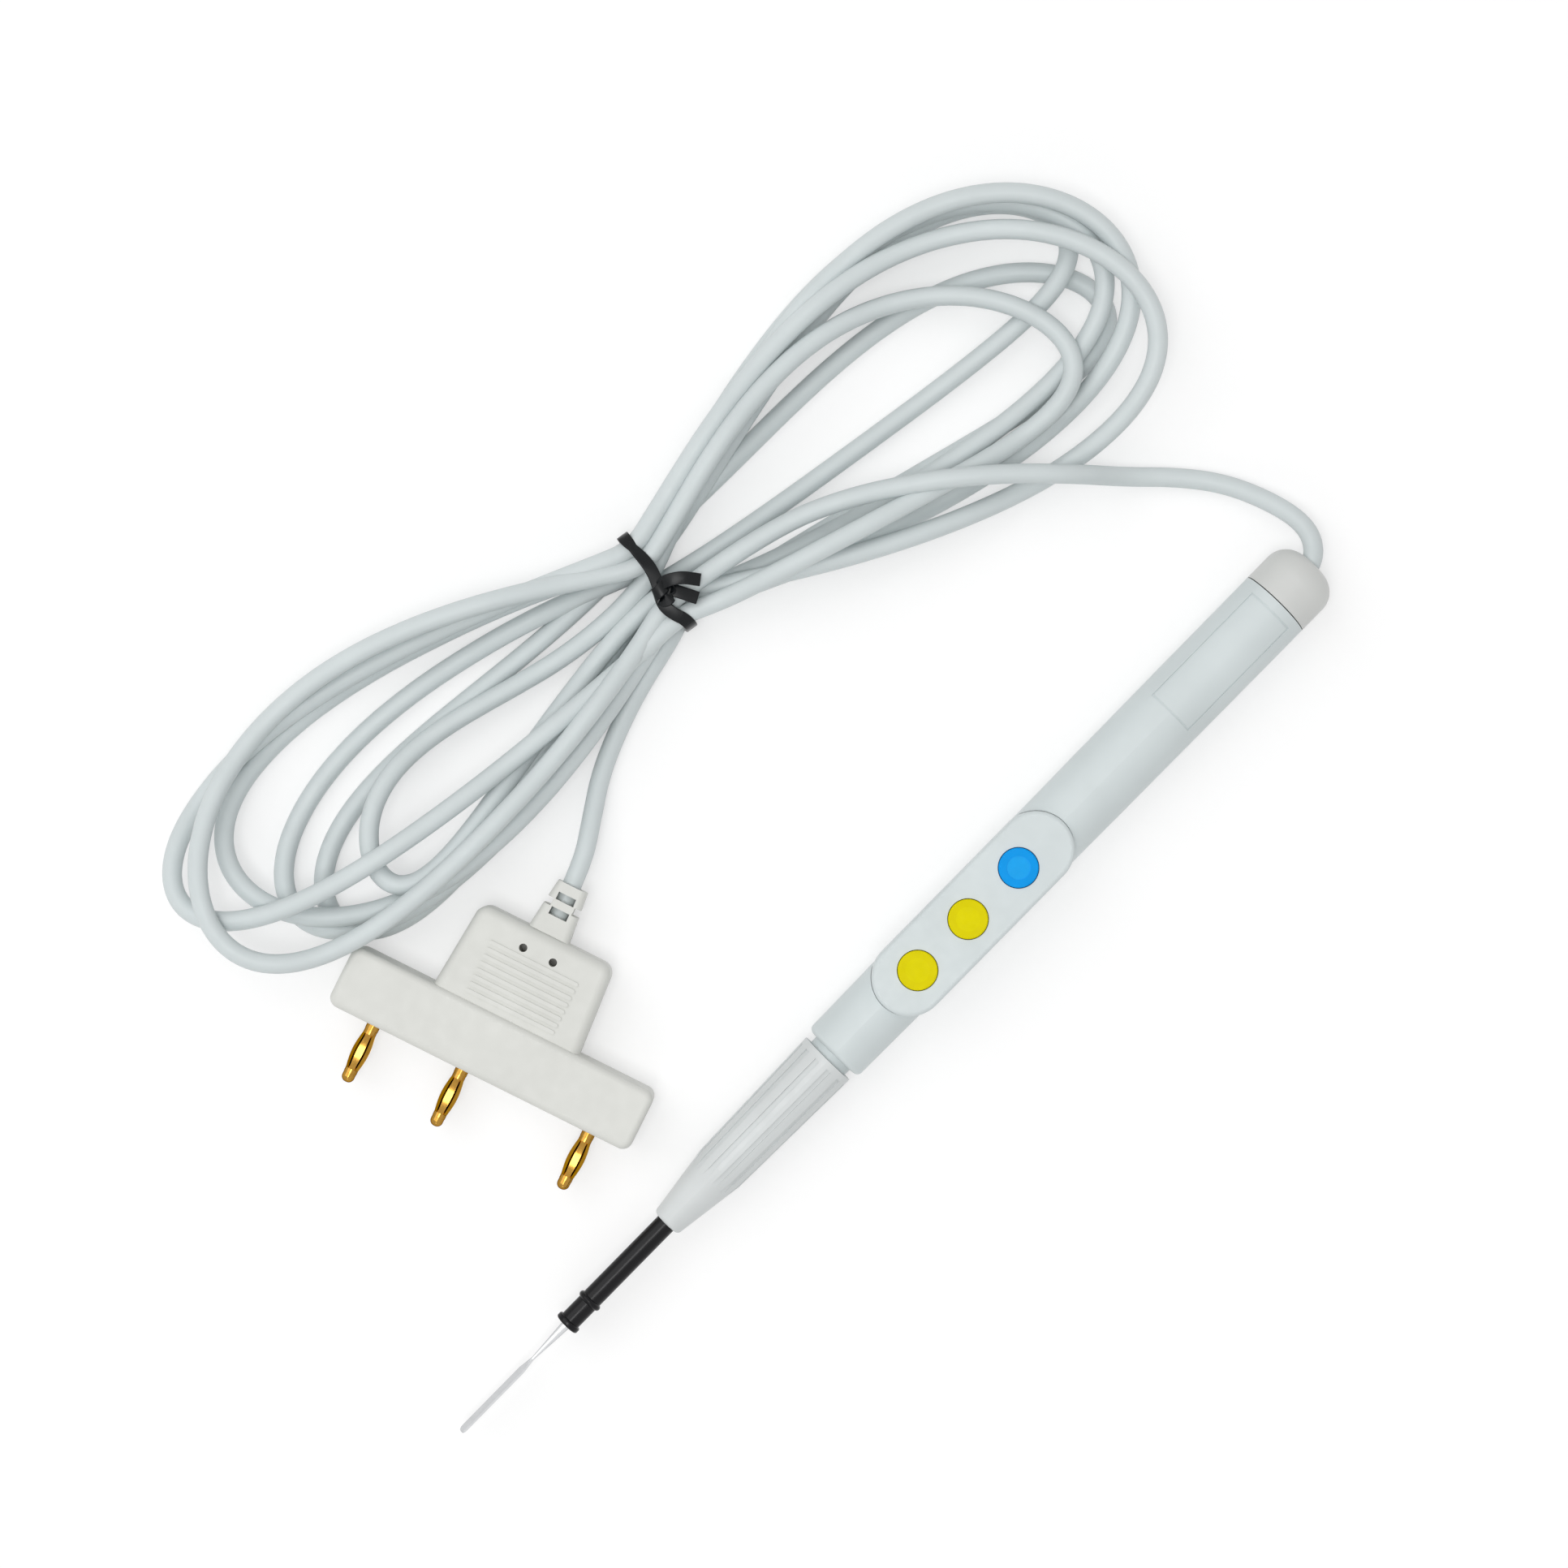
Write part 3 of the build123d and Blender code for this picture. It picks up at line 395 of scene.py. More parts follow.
@dataclass(frozen=True)
class DrawnMetal:
    """Metal with fine lines along the way it was drawn, ground or turned."""

    name: str
    colour: Colour
    grain: Grain
    turn: float = 0.0
    line_scale: float = 9000.0
    line_depth: float = 0.004 * MM
    line_strength: float = 0.5
    roughness: Span = (0.16, 0.3)
    tarnish: float = 0.12
    patina_scale: float = 700.0
    edge_tint: Colour = (1.0, 1.0, 1.0)

    def build(self) -> bpy.types.Material:
        """Makes the material.

        Returns:
            The new material.
        """
        bench = NodeBench(bpy.data.materials.new(self.name))
        patina = bench.spread(bench.noise(bench.coordinates(), self.patina_scale, detail=4.0))
        bench.feed("Base Color", bench.clouded(patina, self.colour, 1 - self.tarnish, 1 + self.tarnish / 2))
        lines = bench.noise(bench.coordinates(self.grain, self.turn), self.line_scale, detail=2.0)
        bench.feed("Roughness", bench.spread(lines, *self.roughness))
        bench.relief(lines, self.line_depth, self.line_strength)
        bench.put(Metallic=1.0, Specular_Tint=(*self.edge_tint, 1.0))
        return bench.holder


@dataclass(frozen=True)
class BoardLaminate:
    """Lacquered circuit laminate: glass weave, copper tracks and tinned pads."""

    name: str
    colour: Colour
    track_colour: Colour = (0.05, 0.3, 0.12)
    weave_tones: Span = (0.85, 1.15)
    weave_scale: float = 900.0
    weave_depth: float = 0.01 * MM
    weave_strength: float = 0.4
    pad_colour: Colour = (0.62, 0.6, 0.56)
    pad_scale: float = 260.0
    pad_edge: Span = (0.16, 0.2)
    roughness: Span = (0.2, 0.35)
    sheen_scale: float = 1500.0

    def build(self) -> bpy.types.Material:
        """Makes the material.

        Returns:
            The new material.
        """
        bench = NodeBench(bpy.data.materials.new(self.name))
        place = bench.coordinates()
        weave = bench.add("TexBrick")
        weave.inputs["Scale"].default_value = self.weave_scale
        darker, lighter = (shade(self.colour, tone) for tone in self.weave_tones)
        tones = {"Color1": darker, "Color2": lighter, "Mortar": self.track_colour}
        for name, tone in tones.items():
            weave.inputs[name].default_value = (*tone, 1.0)
        bench.join(place, weave.inputs["Vector"])
        pads = bench.add("TexVoronoi")
        pads.inputs["Scale"].default_value = self.pad_scale
        bench.join(place, pads.inputs["Vector"])
        beside = bench.ramp(pads.outputs["Distance"], self.pad_edge)
        bench.feed("Base Color", bench.mix(beside, self.pad_colour, weave.outputs["Color"]))
        bench.feed("Roughness", bench.spread(bench.noise(place, self.sheen_scale), *self.roughness))
        bench.relief(weave.outputs["Fac"], self.weave_depth, self.weave_strength)
        return bench.holder


@dataclass(frozen=True)
class SiliconeCord:
    """Satin silicone jacket: fine grain, faint clouding and a slightly see-through skin."""

    name: str
    colour: Colour
    tones: Span = (0.965, 1.03)
    cloud_scale: float = 45.0
    roughness: Span = (0.38, 0.52)
    sheen_scale: float = 500.0
    grain_scale: float = 3600.0
    grain_depth: float = 0.006 * MM
    grain_strength: float = 0.5
    swell_scale: float = 150.0
    swell_depth: float = 0.05 * MM
    swell_strength: float = 0.3
    specular: float = 0.36
    skin_weight: float = 0.12
    skin_depth: float = 1.2 * MM
    skin_tint: Colour = (0.9, 1.0, 1.0)

    def build(self) -> bpy.types.Material:
        """Makes the material.

        Returns:
            The new material.
        """
        bench = NodeBench(bpy.data.materials.new(self.name))
        place = bench.coordinates()
        cloud = bench.spread(bench.noise(place, self.cloud_scale, detail=5.0, roughness=0.6))
        bench.feed("Base Color", bench.clouded(cloud, self.colour, *self.tones))
        bench.feed("Roughness", bench.spread(bench.noise(place, self.sheen_scale), *self.roughness))
        bench.relief(bench.noise(place, self.grain_scale), self.grain_depth, self.grain_strength)
        bench.relief(bench.noise(place, self.swell_scale, detail=2.0), self.swell_depth, self.swell_strength)
        bench.put(Specular_IOR_Level=self.specular, Subsurface_Weight=self.skin_weight)
        bench.put(Subsurface_Scale=self.skin_depth, Subsurface_Radius=self.skin_tint)
        return bench.holder


Finish = MouldedPlastic | ButtonPlastic | DrawnMetal | BoardLaminate | SiliconeCord

FINISHES: dict[str, Finish] = {
    "handle_plastic": MouldedPlastic("handle_satin", (0.62, 0.675, 0.68)),
    "nose_plastic": MouldedPlastic("nose_satin", (0.635, 0.66, 0.66), roughness=(0.32, 0.46)),
    "cap_plastic": MouldedPlastic("cap_satin", (0.62, 0.63, 0.615), clouding=0.03),
    "yellow_button": ButtonPlastic("button_yellow", (0.72, 0.63, 0.0), (0.74, 0.66, 0.0)),
    "blue_button": ButtonPlastic("button_blue", (0.005, 0.32, 0.82), (0.014, 0.375, 0.86)),
    "switch_plastic": MouldedPlastic("switch_black", (0.03, 0.03, 0.03)),
    "board_laminate": BoardLaminate("board_lacquer", (0.02, 0.16, 0.07)),
    "inner_plastic": MouldedPlastic("carrier_white", (0.72, 0.72, 0.68)),
    "contact_brass": DrawnMetal("turned_brass", (0.72, 0.55, 0.25), Grain.ROUND_PENCIL),
    "seal_rubber": MouldedPlastic("seal_black", (0.02, 0.02, 0.02), roughness=(0.5, 0.65)),
    "blade_steel": DrawnMetal(
        "ground_steel", (0.68, 0.69, 0.7), Grain.ALONG_PENCIL,
        roughness=(0.27, 0.33), line_depth=0.0015 * MM, tarnish=0.05, edge_tint=(0.3, 0.31, 0.33),
    ),
    "sleeve_plastic": MouldedPlastic(
        "sleeve_gloss", (0.004, 0.004, 0.005), grain_depth=0.001 * MM, roughness=(0.2, 0.28), specular=0.2
    ),
    "clamp_metal": DrawnMetal(
        "crimped_aluminium", (0.6, 0.6, 0.6), Grain.ROUND_PENCIL, roughness=(0.25, 0.4)
    ),
    "lead_red": MouldedPlastic("lead_red_skin", (0.5, 0.03, 0.02)),
    "lead_yellow": MouldedPlastic("lead_yellow_skin", (0.6, 0.5, 0.03)),
    "lead_blue": MouldedPlastic("lead_blue_skin", (0.03, 0.12, 0.5)),
    "cord_silicone": SiliconeCord("cord_skin", (0.62, 0.67, 0.675)),
    "tie_plastic": MouldedPlastic(
        "tie_black", (0.004, 0.005, 0.006), roughness=(0.24, 0.36), specular=0.22
    ),
    "plug_plastic": MouldedPlastic(
        "plug_satin", (0.665, 0.67, 0.635), clouding=0.025, roughness=(0.42, 0.55)
    ),
    "pin_gilt": DrawnMetal(
        "pin_gold", (0.42, 0.23, 0.045), Grain.ALONG_PLUG, PLUG_TURN,
        roughness=(0.1, 0.18), edge_tint=(0.14, 0.08, 0.03),
    ),
}


class FinishBook:
    """Materials of the part by the record's slots, each made once."""

    def __init__(self, finishes: dict[str, Finish]) -> None:
        """Keeps the finishes.

        Args:
            finishes: Finish of each material slot.
        """
        self.finishes = finishes
        self.made: dict[str, bpy.types.Material] = {}

    def get(self, slot: str) -> bpy.types.Material:
        """Material of a slot, made on first use.

        Args:
            slot: Material slot of the record.

        Returns:
            Its material.
        """
        if slot not in self.made:
            self.made[slot] = self.finishes[slot].build()
        return self.made[slot]

    def dress_frame(self, record: dict, nodes: dict[str, bpy.types.Object]) -> None:
        """Gives every carried-over node the finish of its slot.

        Args:
            record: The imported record.
            nodes: CAD objects by node name.
        """
        for entry in record["subparts"]:
            node = nodes[entry["node"]]
            for holder in node.material_slots:
                holder.material = self.get(entry["material_slot"])
            LOG.info("node %s takes %s", entry["node"], entry["material_slot"])


def place_object(name: str, data: bpy.types.ID) -> bpy.types.Object:
    """Puts a new object into the scene, at the origin.

    Args:
        name: Name of the object.
        data: Its mesh, curve, light or camera.

    Returns:
        The new object.
    """
    piece = bpy.data.objects.new(name, data)
    bpy.context.collection.objects.link(piece)
    return piece


def nurbs(name: str, points: Sequence[Sequence[float]]) -> bpy.types.Curve:
    """One smooth open spline with the given control points.

    Args:
        name: Name of the curve.
        points: Control points in metres, one row each.

    Returns:
        The new curve.
    """
    curve = bpy.data.curves.new(name, "CURVE")
    curve.dimensions = "3D"
    line = curve.splines.new("NURBS")
    line.points.add(len(points) - 1)
    for point, place in zip(line.points, points):
        point.co = (*place, 1.0)
    line.order_u = 3
    line.use_endpoint_u = True
    return curve


def read_line(curve: bpy.types.Curve) -> np.ndarray:
    """Points of a curve's own line, without any bevel.

    Args:
        curve: Curve of one spline.

    Returns:
        Its points in order, one row each.
    """
    holder = place_object(curve.name, curve)
    bpy.context.view_layer.update()
    mesh = bpy.data.meshes.new_from_object(holder.evaluated_get(bpy.context.evaluated_depsgraph_get()))
    places = np.array([tuple(vertex.co) for vertex in mesh.vertices])
    bpy.data.objects.remove(holder)
    bpy.data.meshes.remove(mesh)
    return places


def finish_mesh(
    work: bmesh.types.BMesh, name: str, material: bpy.types.Material, crease: float
) -> bpy.types.Object:
    """Turns a worked mesh into a smooth-shaded object at the origin.

    Args:
        work: Mesh under construction, which is freed.
        name: Name of the object.
        material: Its material.
        crease: Angle in radians above which an edge stays sharp.

    Returns:
        The new object.
    """
    bmesh.ops.recalc_face_normals(work, faces=work.faces[:])
    mesh = bpy.data.meshes.new(name)
    work.to_mesh(mesh)
    work.free()
    mesh.polygons.foreach_set("use_smooth", [True] * len(mesh.polygons))
    mesh.set_sharp_from_angle(angle=crease)
    mesh.materials.append(material)
    return place_object(name, mesh)


@dataclass
class CordHank:
    """Silicone cord from the cap to the plug, folded into a tied hank with two fanned lobes."""

    diameter: float = 4.5 * MM
    exit: Point = (136.0 * MM, 0.0, 8.5 * MM)
    # Runs outside the hank in millimetres: offsets from the exit, and heights over the floor where given
    pencil_run: tuple[Point, ...] = (
        (-22.0, 0.0, 8.5), (-6.0, 0.0, 8.5), (0.6, 0.2, 8.5), (4.5, 4.2, 8.2), (5.4, 10.0, 7.2),
        (3.4, 18.6, 4.9), (-0.4, 27.4, 3.0), (-6.6, 35.6, 2.6), (-14.8, 43.8, 3.8),
    )
    pencil_lead: tuple[Spot, ...] = (
        (-23.5, 52.6), (-35.0, 64.3), (-48.4, 75.3), (-62.4, 84.7), (-77.5, 91.5),
    )
    plug_run: tuple[Point, ...] = (
        (-112.0, 91.4, 3.6), (-128.0, 88.0, 2.9), (-144.0, 82.0, 2.5), (-154.2, 75.2, 4.5),
    )
    # Last two points, which lie on the plug's axis, as places along it
    plug_entry: Span = (-4.0 * MM, 19.0 * MM)
    # Turns of each lobe in millimetres, from the top of the pile: reach, half width, bow and lean
    pencil_turns: tuple[tuple[float, ...], ...] = (
        (106, 21, 8, -10), (126, 30, 5.6, -11), (128, 28.5, 4.5, 1),
        (124, 25, 6, 4), (121, 15, 7, 11), (119, 15, 5, -7),
    )
    plug_turns: tuple[tuple[float, ...], ...] = (
        (125, 26, 5.2, -6), (128, 18.5, 2.5, 5), (88, 7.2, 2, -16),
        (115, 24, -3, 2), (109, 19, 0, -11), (103, 12, 0, -17),
    )
    # Form of every turn: its start beside the tie, its least fold and how soon it leaves its slot
    turn_points: int = 26
    tie_room: float = 9.0 * MM
    fold_radius: float = 9.5 * MM
    fullness: float = 1.3
    slot_fade: float = 2.5
    # Passes under the tie in millimetres, across and up, in the order of the cord
    passes: tuple[Spot, ...] = (
        (-4.5, 10.6), (4.5, 10.6), (-9.0, 10.6), (9.0, 10.6), (-2.25, 7.0), (2.25, 7.0), (-6.75, 7.0),
        (6.75, 7.0), (-4.5, 3.3), (4.5, 3.3), (0.0, 3.3), (9.0, 3.3), (-9.0, 3.3),
    )
    # How the turns settle: which crossings count, the humps over them and the way into the passes
    tie_clear: float = 14.0 * MM
    press: float = 0.93
    own_diameters: float = 4.0
    hump_radius: float = 130.0 * MM
    settle_rounds: int = 30
    settle_limit: float = 0.01 * MM
    blend_start: float = 6.0 * MM
    blend_length: float = 28.0 * MM
    # Steps of the plan and of the cord from point to point, and steps round the cord
    plan_steps: int = 4
    line_steps: int = 6
    round_steps: int = 4

    def on_floor(self, along: float, across: float) -> Spot:
        """Place on the floor of a point in the bundle's own frame, both in metres."""
        cosine, sine = math.cos(BUNDLE_TURN), math.sin(BUNDLE_TURN)
        return (TIE_PLACE[0] + along * cosine - across * sine, TIE_PLACE[1] + along * sine + across * cosine)

    def from_exit(self, x: float, y: float) -> Spot:
        """Place on the floor of an offset from the exit in millimetres."""
        return (self.exit[0] + x * MM, self.exit[1] + y * MM)

    def on_plug_axis(self, along: float) -> Spot:
        """Place on the floor of a point on the plug's axis."""
        return (PLUG_ORIGIN[0] + along * math.cos(PLUG_TURN), PLUG_ORIGIN[1] + along * math.sin(PLUG_TURN))

    def from_tie(self, places: np.ndarray) -> np.ndarray:
        """Distances of places on the floor from the tie, along the bundle."""
        axis = np.array([math.cos(BUNDLE_TURN), math.sin(BUNDLE_TURN)])
        return np.abs((places - np.array(TIE_PLACE)) @ axis)

    def turn(self, sizes: Sequence[float], side: int, slots: Span) -> list[Spot]:
        """Control points of one loose turn, out from the tie and back to it.

        Args:
            sizes: Reach, half width, bow and lean in millimetres.
            side: 1 for the lobe towards the cap, -1 for the one towards the plug.
            slots: Places across the bundle at which the turn leaves the tie and comes back, in metres.

        Returns:
            Places on the floor.
        """
        reach, width, bow, lean = (size * MM for size in sizes)
        start = 2 * math.asin(math.sqrt(self.tie_room / reach))
        # A turn too narrow for the fold's radius gets a bulb at its end
        bulb = max(0.0, (math.sqrt(self.fold_radius * reach / 2) / (self.fullness * width) - 1) / 2)
        places = []
        for step in range(self.turn_points):
            angle = start + (2 * math.pi - 2 * start) * step / (self.turn_points - 1)
            out = (1 - math.cos(angle)) / 2
            belly = self.fullness * math.sqrt(out) * (math.sin(angle) - bulb * math.sin(2 * angle))
            slot = slots[0] if angle < math.pi else slots[1]
            across = side * width * belly + bow * belly * math.sin(angle) + lean * out
            places.append(self.on_floor(side * reach * out, across + slot * (1 - out) ** self.slot_fade))
        return places

    def plan(self) -> tuple[np.ndarray, np.ndarray]:
        """Control points of the whole cord on the floor.

        Returns:
            Their places, and their heights where those are given, otherwise not a number.
        """
        places: list[Spot] = []
        heights: list[float] = []

        def lay(spots: Iterable[Spot], height: float = math.nan) -> None:
            """Adds places at one height.

            Args:
                spots: Places on the floor.
                height: Their height, or not a number where it isn't given.
            """
            for spot in spots:
                places.append(spot)
                heights.append(height)

        for x, y, z in self.pencil_run:
            lay([self.from_exit(x, y)], z * MM)
        lay(self.from_exit(x, y) for x, y in self.pencil_lead)
        slots = [(across * MM, up * MM) for across, up in self.passes]
        for count, (plug_sizes, pencil_sizes) in enumerate(zip(self.plug_turns, self.pencil_turns)):
            low, high, after = slots[2 * count : 2 * count + 3]
            lay([self.on_floor(0, low[0])], low[1])
            lay(self.turn(plug_sizes, -1, (low[0], high[0])))
            lay([self.on_floor(0, high[0])], high[1])
            lay(self.turn(pencil_sizes, 1, (high[0], after[0])))
        lay([self.on_floor(0, slots[-1][0])], slots[-1][1])
        for x, y, z in self.plug_run:
            lay([self.from_exit(x, y)], z * MM)
        lay([self.on_plug_axis(along) for along in self.plug_entry], PLUG_ORIGIN[2])
        return np.array(places), np.array(heights)

    def piled(self, line: np.ndarray) -> np.ndarray:
        """Heights at which a line's crossings lie on each other, the plug's end of the cord lowest.

        Args:
            line: Points of the cord's line on the floor.

        Returns:
            A height for every point.
        """
        run = np.concatenate([[0], np.cumsum(np.linalg.norm(np.diff(line, axis=0), axis=1))])
        clear = self.from_tie(line) > self.tie_clear
        pressed = self.press * self.diameter
        gap = np.linalg.norm(line[:, None] - line[None], axis=2)
        later = run[None] - run[:, None] > self.own_diameters * self.diameter
        under = later & clear[:, None] & clear[None] & (gap < pressed)
        lift = np.where(under, np.sqrt(np.maximum(pressed**2 - gap**2, 0)), -1.0)
        sag = (run[:, None] - run[None]) ** 2 / (2 * self.hump_radius)
        height = np.full(len(line), self.diameter / 2)
        for _ in range(self.settle_rounds):
            carried = np.maximum(self.diameter / 2, (height[None] + lift).max(1))
            humped = np.maximum(height, (carried[None] - sag).max(1))
            if np.abs(humped - height).max() < self.settle_limit:
                break
            height = humped
        return height

    def settle(self, places: np.ndarray, given: np.ndarray) -> np.ndarray:
        """Heights of the control points: as given, as piled, and between the two beside the tie.

        Args:
            places: Control points on the floor.
            given: Heights that are given, otherwise not a number.

        Returns:
            A height for every control point.
        """
        flat = nurbs("cord_plan", np.column_stack([places, np.zeros(len(places))]))
        flat.resolution_u = self.plan_steps
        height = self.piled(read_line(flat)[:, :2])
        bpy.data.curves.remove(flat)
        order = np.arange(len(places))
        settled = height[np.round(order * (len(height) - 1) / (len(places) - 1)).astype(int)]
        known = ~np.isnan(given)
        guide = np.interp(order, order[known], given[known])
        share = np.clip((self.from_tie(places) - self.blend_start) / self.blend_length, 0, 1)
        share = share**2 * (3 - 2 * share)
        return np.where(known, given, guide * (1 - share) + settled * share)

    def build(self, book: FinishBook, plug_pieces: Sequence[bpy.types.Object]) -> bpy.types.Object:
        """Args:
            book: Materials by slot.
            plug_pieces: Pieces that hang on the cord; not used.

        Returns:
            The cord.
        """
        places, given = self.plan()
        points = np.column_stack([places, self.settle(places, given)])
        curve = nurbs("cord", points)
        curve.resolution_u = self.line_steps
        line = read_line(curve)
        curve.bevel_depth = self.diameter / 2
        curve.bevel_resolution = self.round_steps
        curve.use_fill_caps = True
        cord = place_object("cord", curve)
        curve.materials.append(book.get("cord_silicone"))
        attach(cord, HANDLE)
        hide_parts("cord_pencil_run", "cord_hank", "cord_plug_run")
        return cord


@dataclass(frozen=True)
class Strip:
    """A run of ribbon in the bundle's own frame: along, across, up in millimetres and roll in degrees."""

    name: str
    side: Point
    points: tuple[tuple[float, float, float, float], ...]
    steps: int = 5

    def frames(self, place: Matrix) -> list[Matrix]:
        """Frames along the ribbon, x over its width and z along its run.

        Args:
            place: Place of the bundle's frame.

        Returns:
            One frame for each point of the smooth line through the strip's points.
        """
        curve = nurbs(self.name, [[part * MM for part in point[:3]] for point in self.points])
        curve.resolution_u = self.steps
        line = read_line(curve)
        bpy.data.curves.remove(curve)
        share = np.linspace(0, len(self.points) - 1, len(line))
        rolls = np.interp(share, range(len(self.points)), [point[3] for point in self.points])
        ways = np.gradient(line, axis=0)
        frames = []
        for spot, way, roll in zip(line, ways, rolls):
            ahead = Vector(way).normalized()
            side = Vector(self.side)
            side = (side - ahead * side.dot(ahead)).normalized()
            side.rotate(Matrix.Rotation(math.radians(roll), 3, ahead))
            turn = Matrix((side, ahead.cross(side), ahead)).transposed().to_4x4()
            frames.append(place @ Matrix.Translation(spot) @ turn)
        return frames


@dataclass
class RibbonTie:
    """Flat black tie: one turn round the hank, knotted on top, with two cut tails."""

    width: float = 2.9 * MM
    thickness: float = 0.6 * MM
    edge_round: float = 0.22 * MM
    edge_steps: int = 3
    crease: float = math.radians(40.0)
    strips: tuple[Strip, ...] = (
        Strip(
            "band", (1.0, 0.0, 0.0),
            (
                (-0.5, -2.6, 14.0, 0), (0.3, -0.4, 14.1, 0), (1.0, 2.6, 13.7, 10), (1.0, 5.6, 13.5, 30),
                (0.6, 8.4, 13.6, 50), (0.3, 11.0, 13.4, 15), (0.2, 12.9, 11.8, 0), (0.2, 13.0, 7.0, 0),
                (0.2, 12.6, 2.4, 0), (0.2, 10.4, 0.5, 0), (0.2, 0.0, 0.45, 0), (0.4, -10.4, 0.5, 0),
                (0.6, -12.4, 2.4, 0), (0.7, -12.6, 7.0, 0), (0.8, -12.3, 11.4, 0), (0.5, -10.4, 13.1, 0),
                (-0.6, -8.4, 13.5, -6), (-1.3, -6.4, 13.7, -10), (-1.4, -4.4, 13.9, -6),
                (-0.6, -2.4, 14.2, 0),
            ),
        ),
        Strip(
            "wrap", (0.25, 0.97, 0.0),
            (
                (1.5, -1.4, 13.6, 0), (0.2, -1.7, 13.3, 0), (-1.4, -2.0, 13.5, 0), (-1.9, -2.2, 14.8, 0),
                (-0.8, -2.2, 15.7, 0), (0.9, -2.0, 15.6, 0), (1.9, -1.7, 14.6, 0), (1.3, -1.4, 13.7, 0),
            ),
        ),
        Strip(
            "curl", (0.8, 0.6, 0.0),
            (
                (-1.2, -3.4, 13.7, 0), (-1.3, -4.3, 14.6, 0), (-0.2, -4.9, 15.2, 0), (1.0, -4.5, 15.2, 0),
                (1.7, -3.6, 14.8, 0), (1.4, -2.8, 14.2, 0), (0.4, -2.5, 14.0, 0),
            ),
        ),
        Strip(
            "upper_tail", (0.5, 0.86, 0.0),
            (
                (0.2, -1.4, 14.6, 0), (1.3, -1.1, 15.6, 0), (3.0, -1.5, 16.5, 4), (5.4, -2.7, 16.6, 6),
                (7.1, -4.2, 16.1, 4), (8.4, -5.5, 15.4, 0),
            ),
        ),
        Strip(
            "lower_tail", (0.82, 0.57, 0.0),
            ((0.6, -2.0, 14.5, 0), (2.0, -3.4, 15.0, -4), (3.8, -5.9, 14.8, -6), (5.6, -8.4, 14.2, -4)),
        ),
    )

    def sweep(self, work: bmesh.types.BMesh, frames: Sequence[Matrix]) -> None:
        """Draws the ribbon's rounded section along given frames.

        Args:
            work: Mesh that takes the ribbon.
            frames: Frames along the run.
        """
        shape = Matrix.Diagonal((self.width, self.thickness, 1.0, 1.0))
        made = bmesh.ops.create_grid(work, x_segments=1, y_segments=1, size=0.5, matrix=shape)
        rounded = bmesh.ops.bevel(
            work,
            geom=made["verts"],
            offset=self.edge_round,
            offset_type="OFFSET",
            affect="VERTICES",
            segments=self.edge_steps,
            profile=0.5,
            material=-1,
        )
        faces = (face for vert in rounded["verts"] for face in vert.link_faces)
        front = max(faces, key=lambda face: len(face.verts))
        bmesh.ops.transform(work, matrix=frames[0], verts=front.verts[:])
        for before, after in zip(frames, frames[1:]):
            grown = bmesh.ops.extrude_face_region(work, geom=[front])["geom"]
            front = next(part for part in grown if isinstance(part, bmesh.types.BMFace))
            fresh = [part for part in grown if isinstance(part, bmesh.types.BMVert)]
            bmesh.ops.transform(work, matrix=after @ before.inverted(), verts=fresh)

    def build(self, book: FinishBook) -> bpy.types.Object:
        """Makes the tie.

        Args:
            book: Materials by slot.

        Returns:
            The tie.
        """
        place = Matrix.Translation((*TIE_PLACE, 0.0)) @ Matrix.Rotation(BUNDLE_TURN, 4, "Z")
        work = bmesh.new()
        for strip in self.strips:
            self.sweep(work, strip.frames(place))
        tie = finish_mesh(work, "ribbon_tie", book.get("tie_plastic"), self.crease)
        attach(tie, HANDLE)
        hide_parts("hank_tie")
        return tie


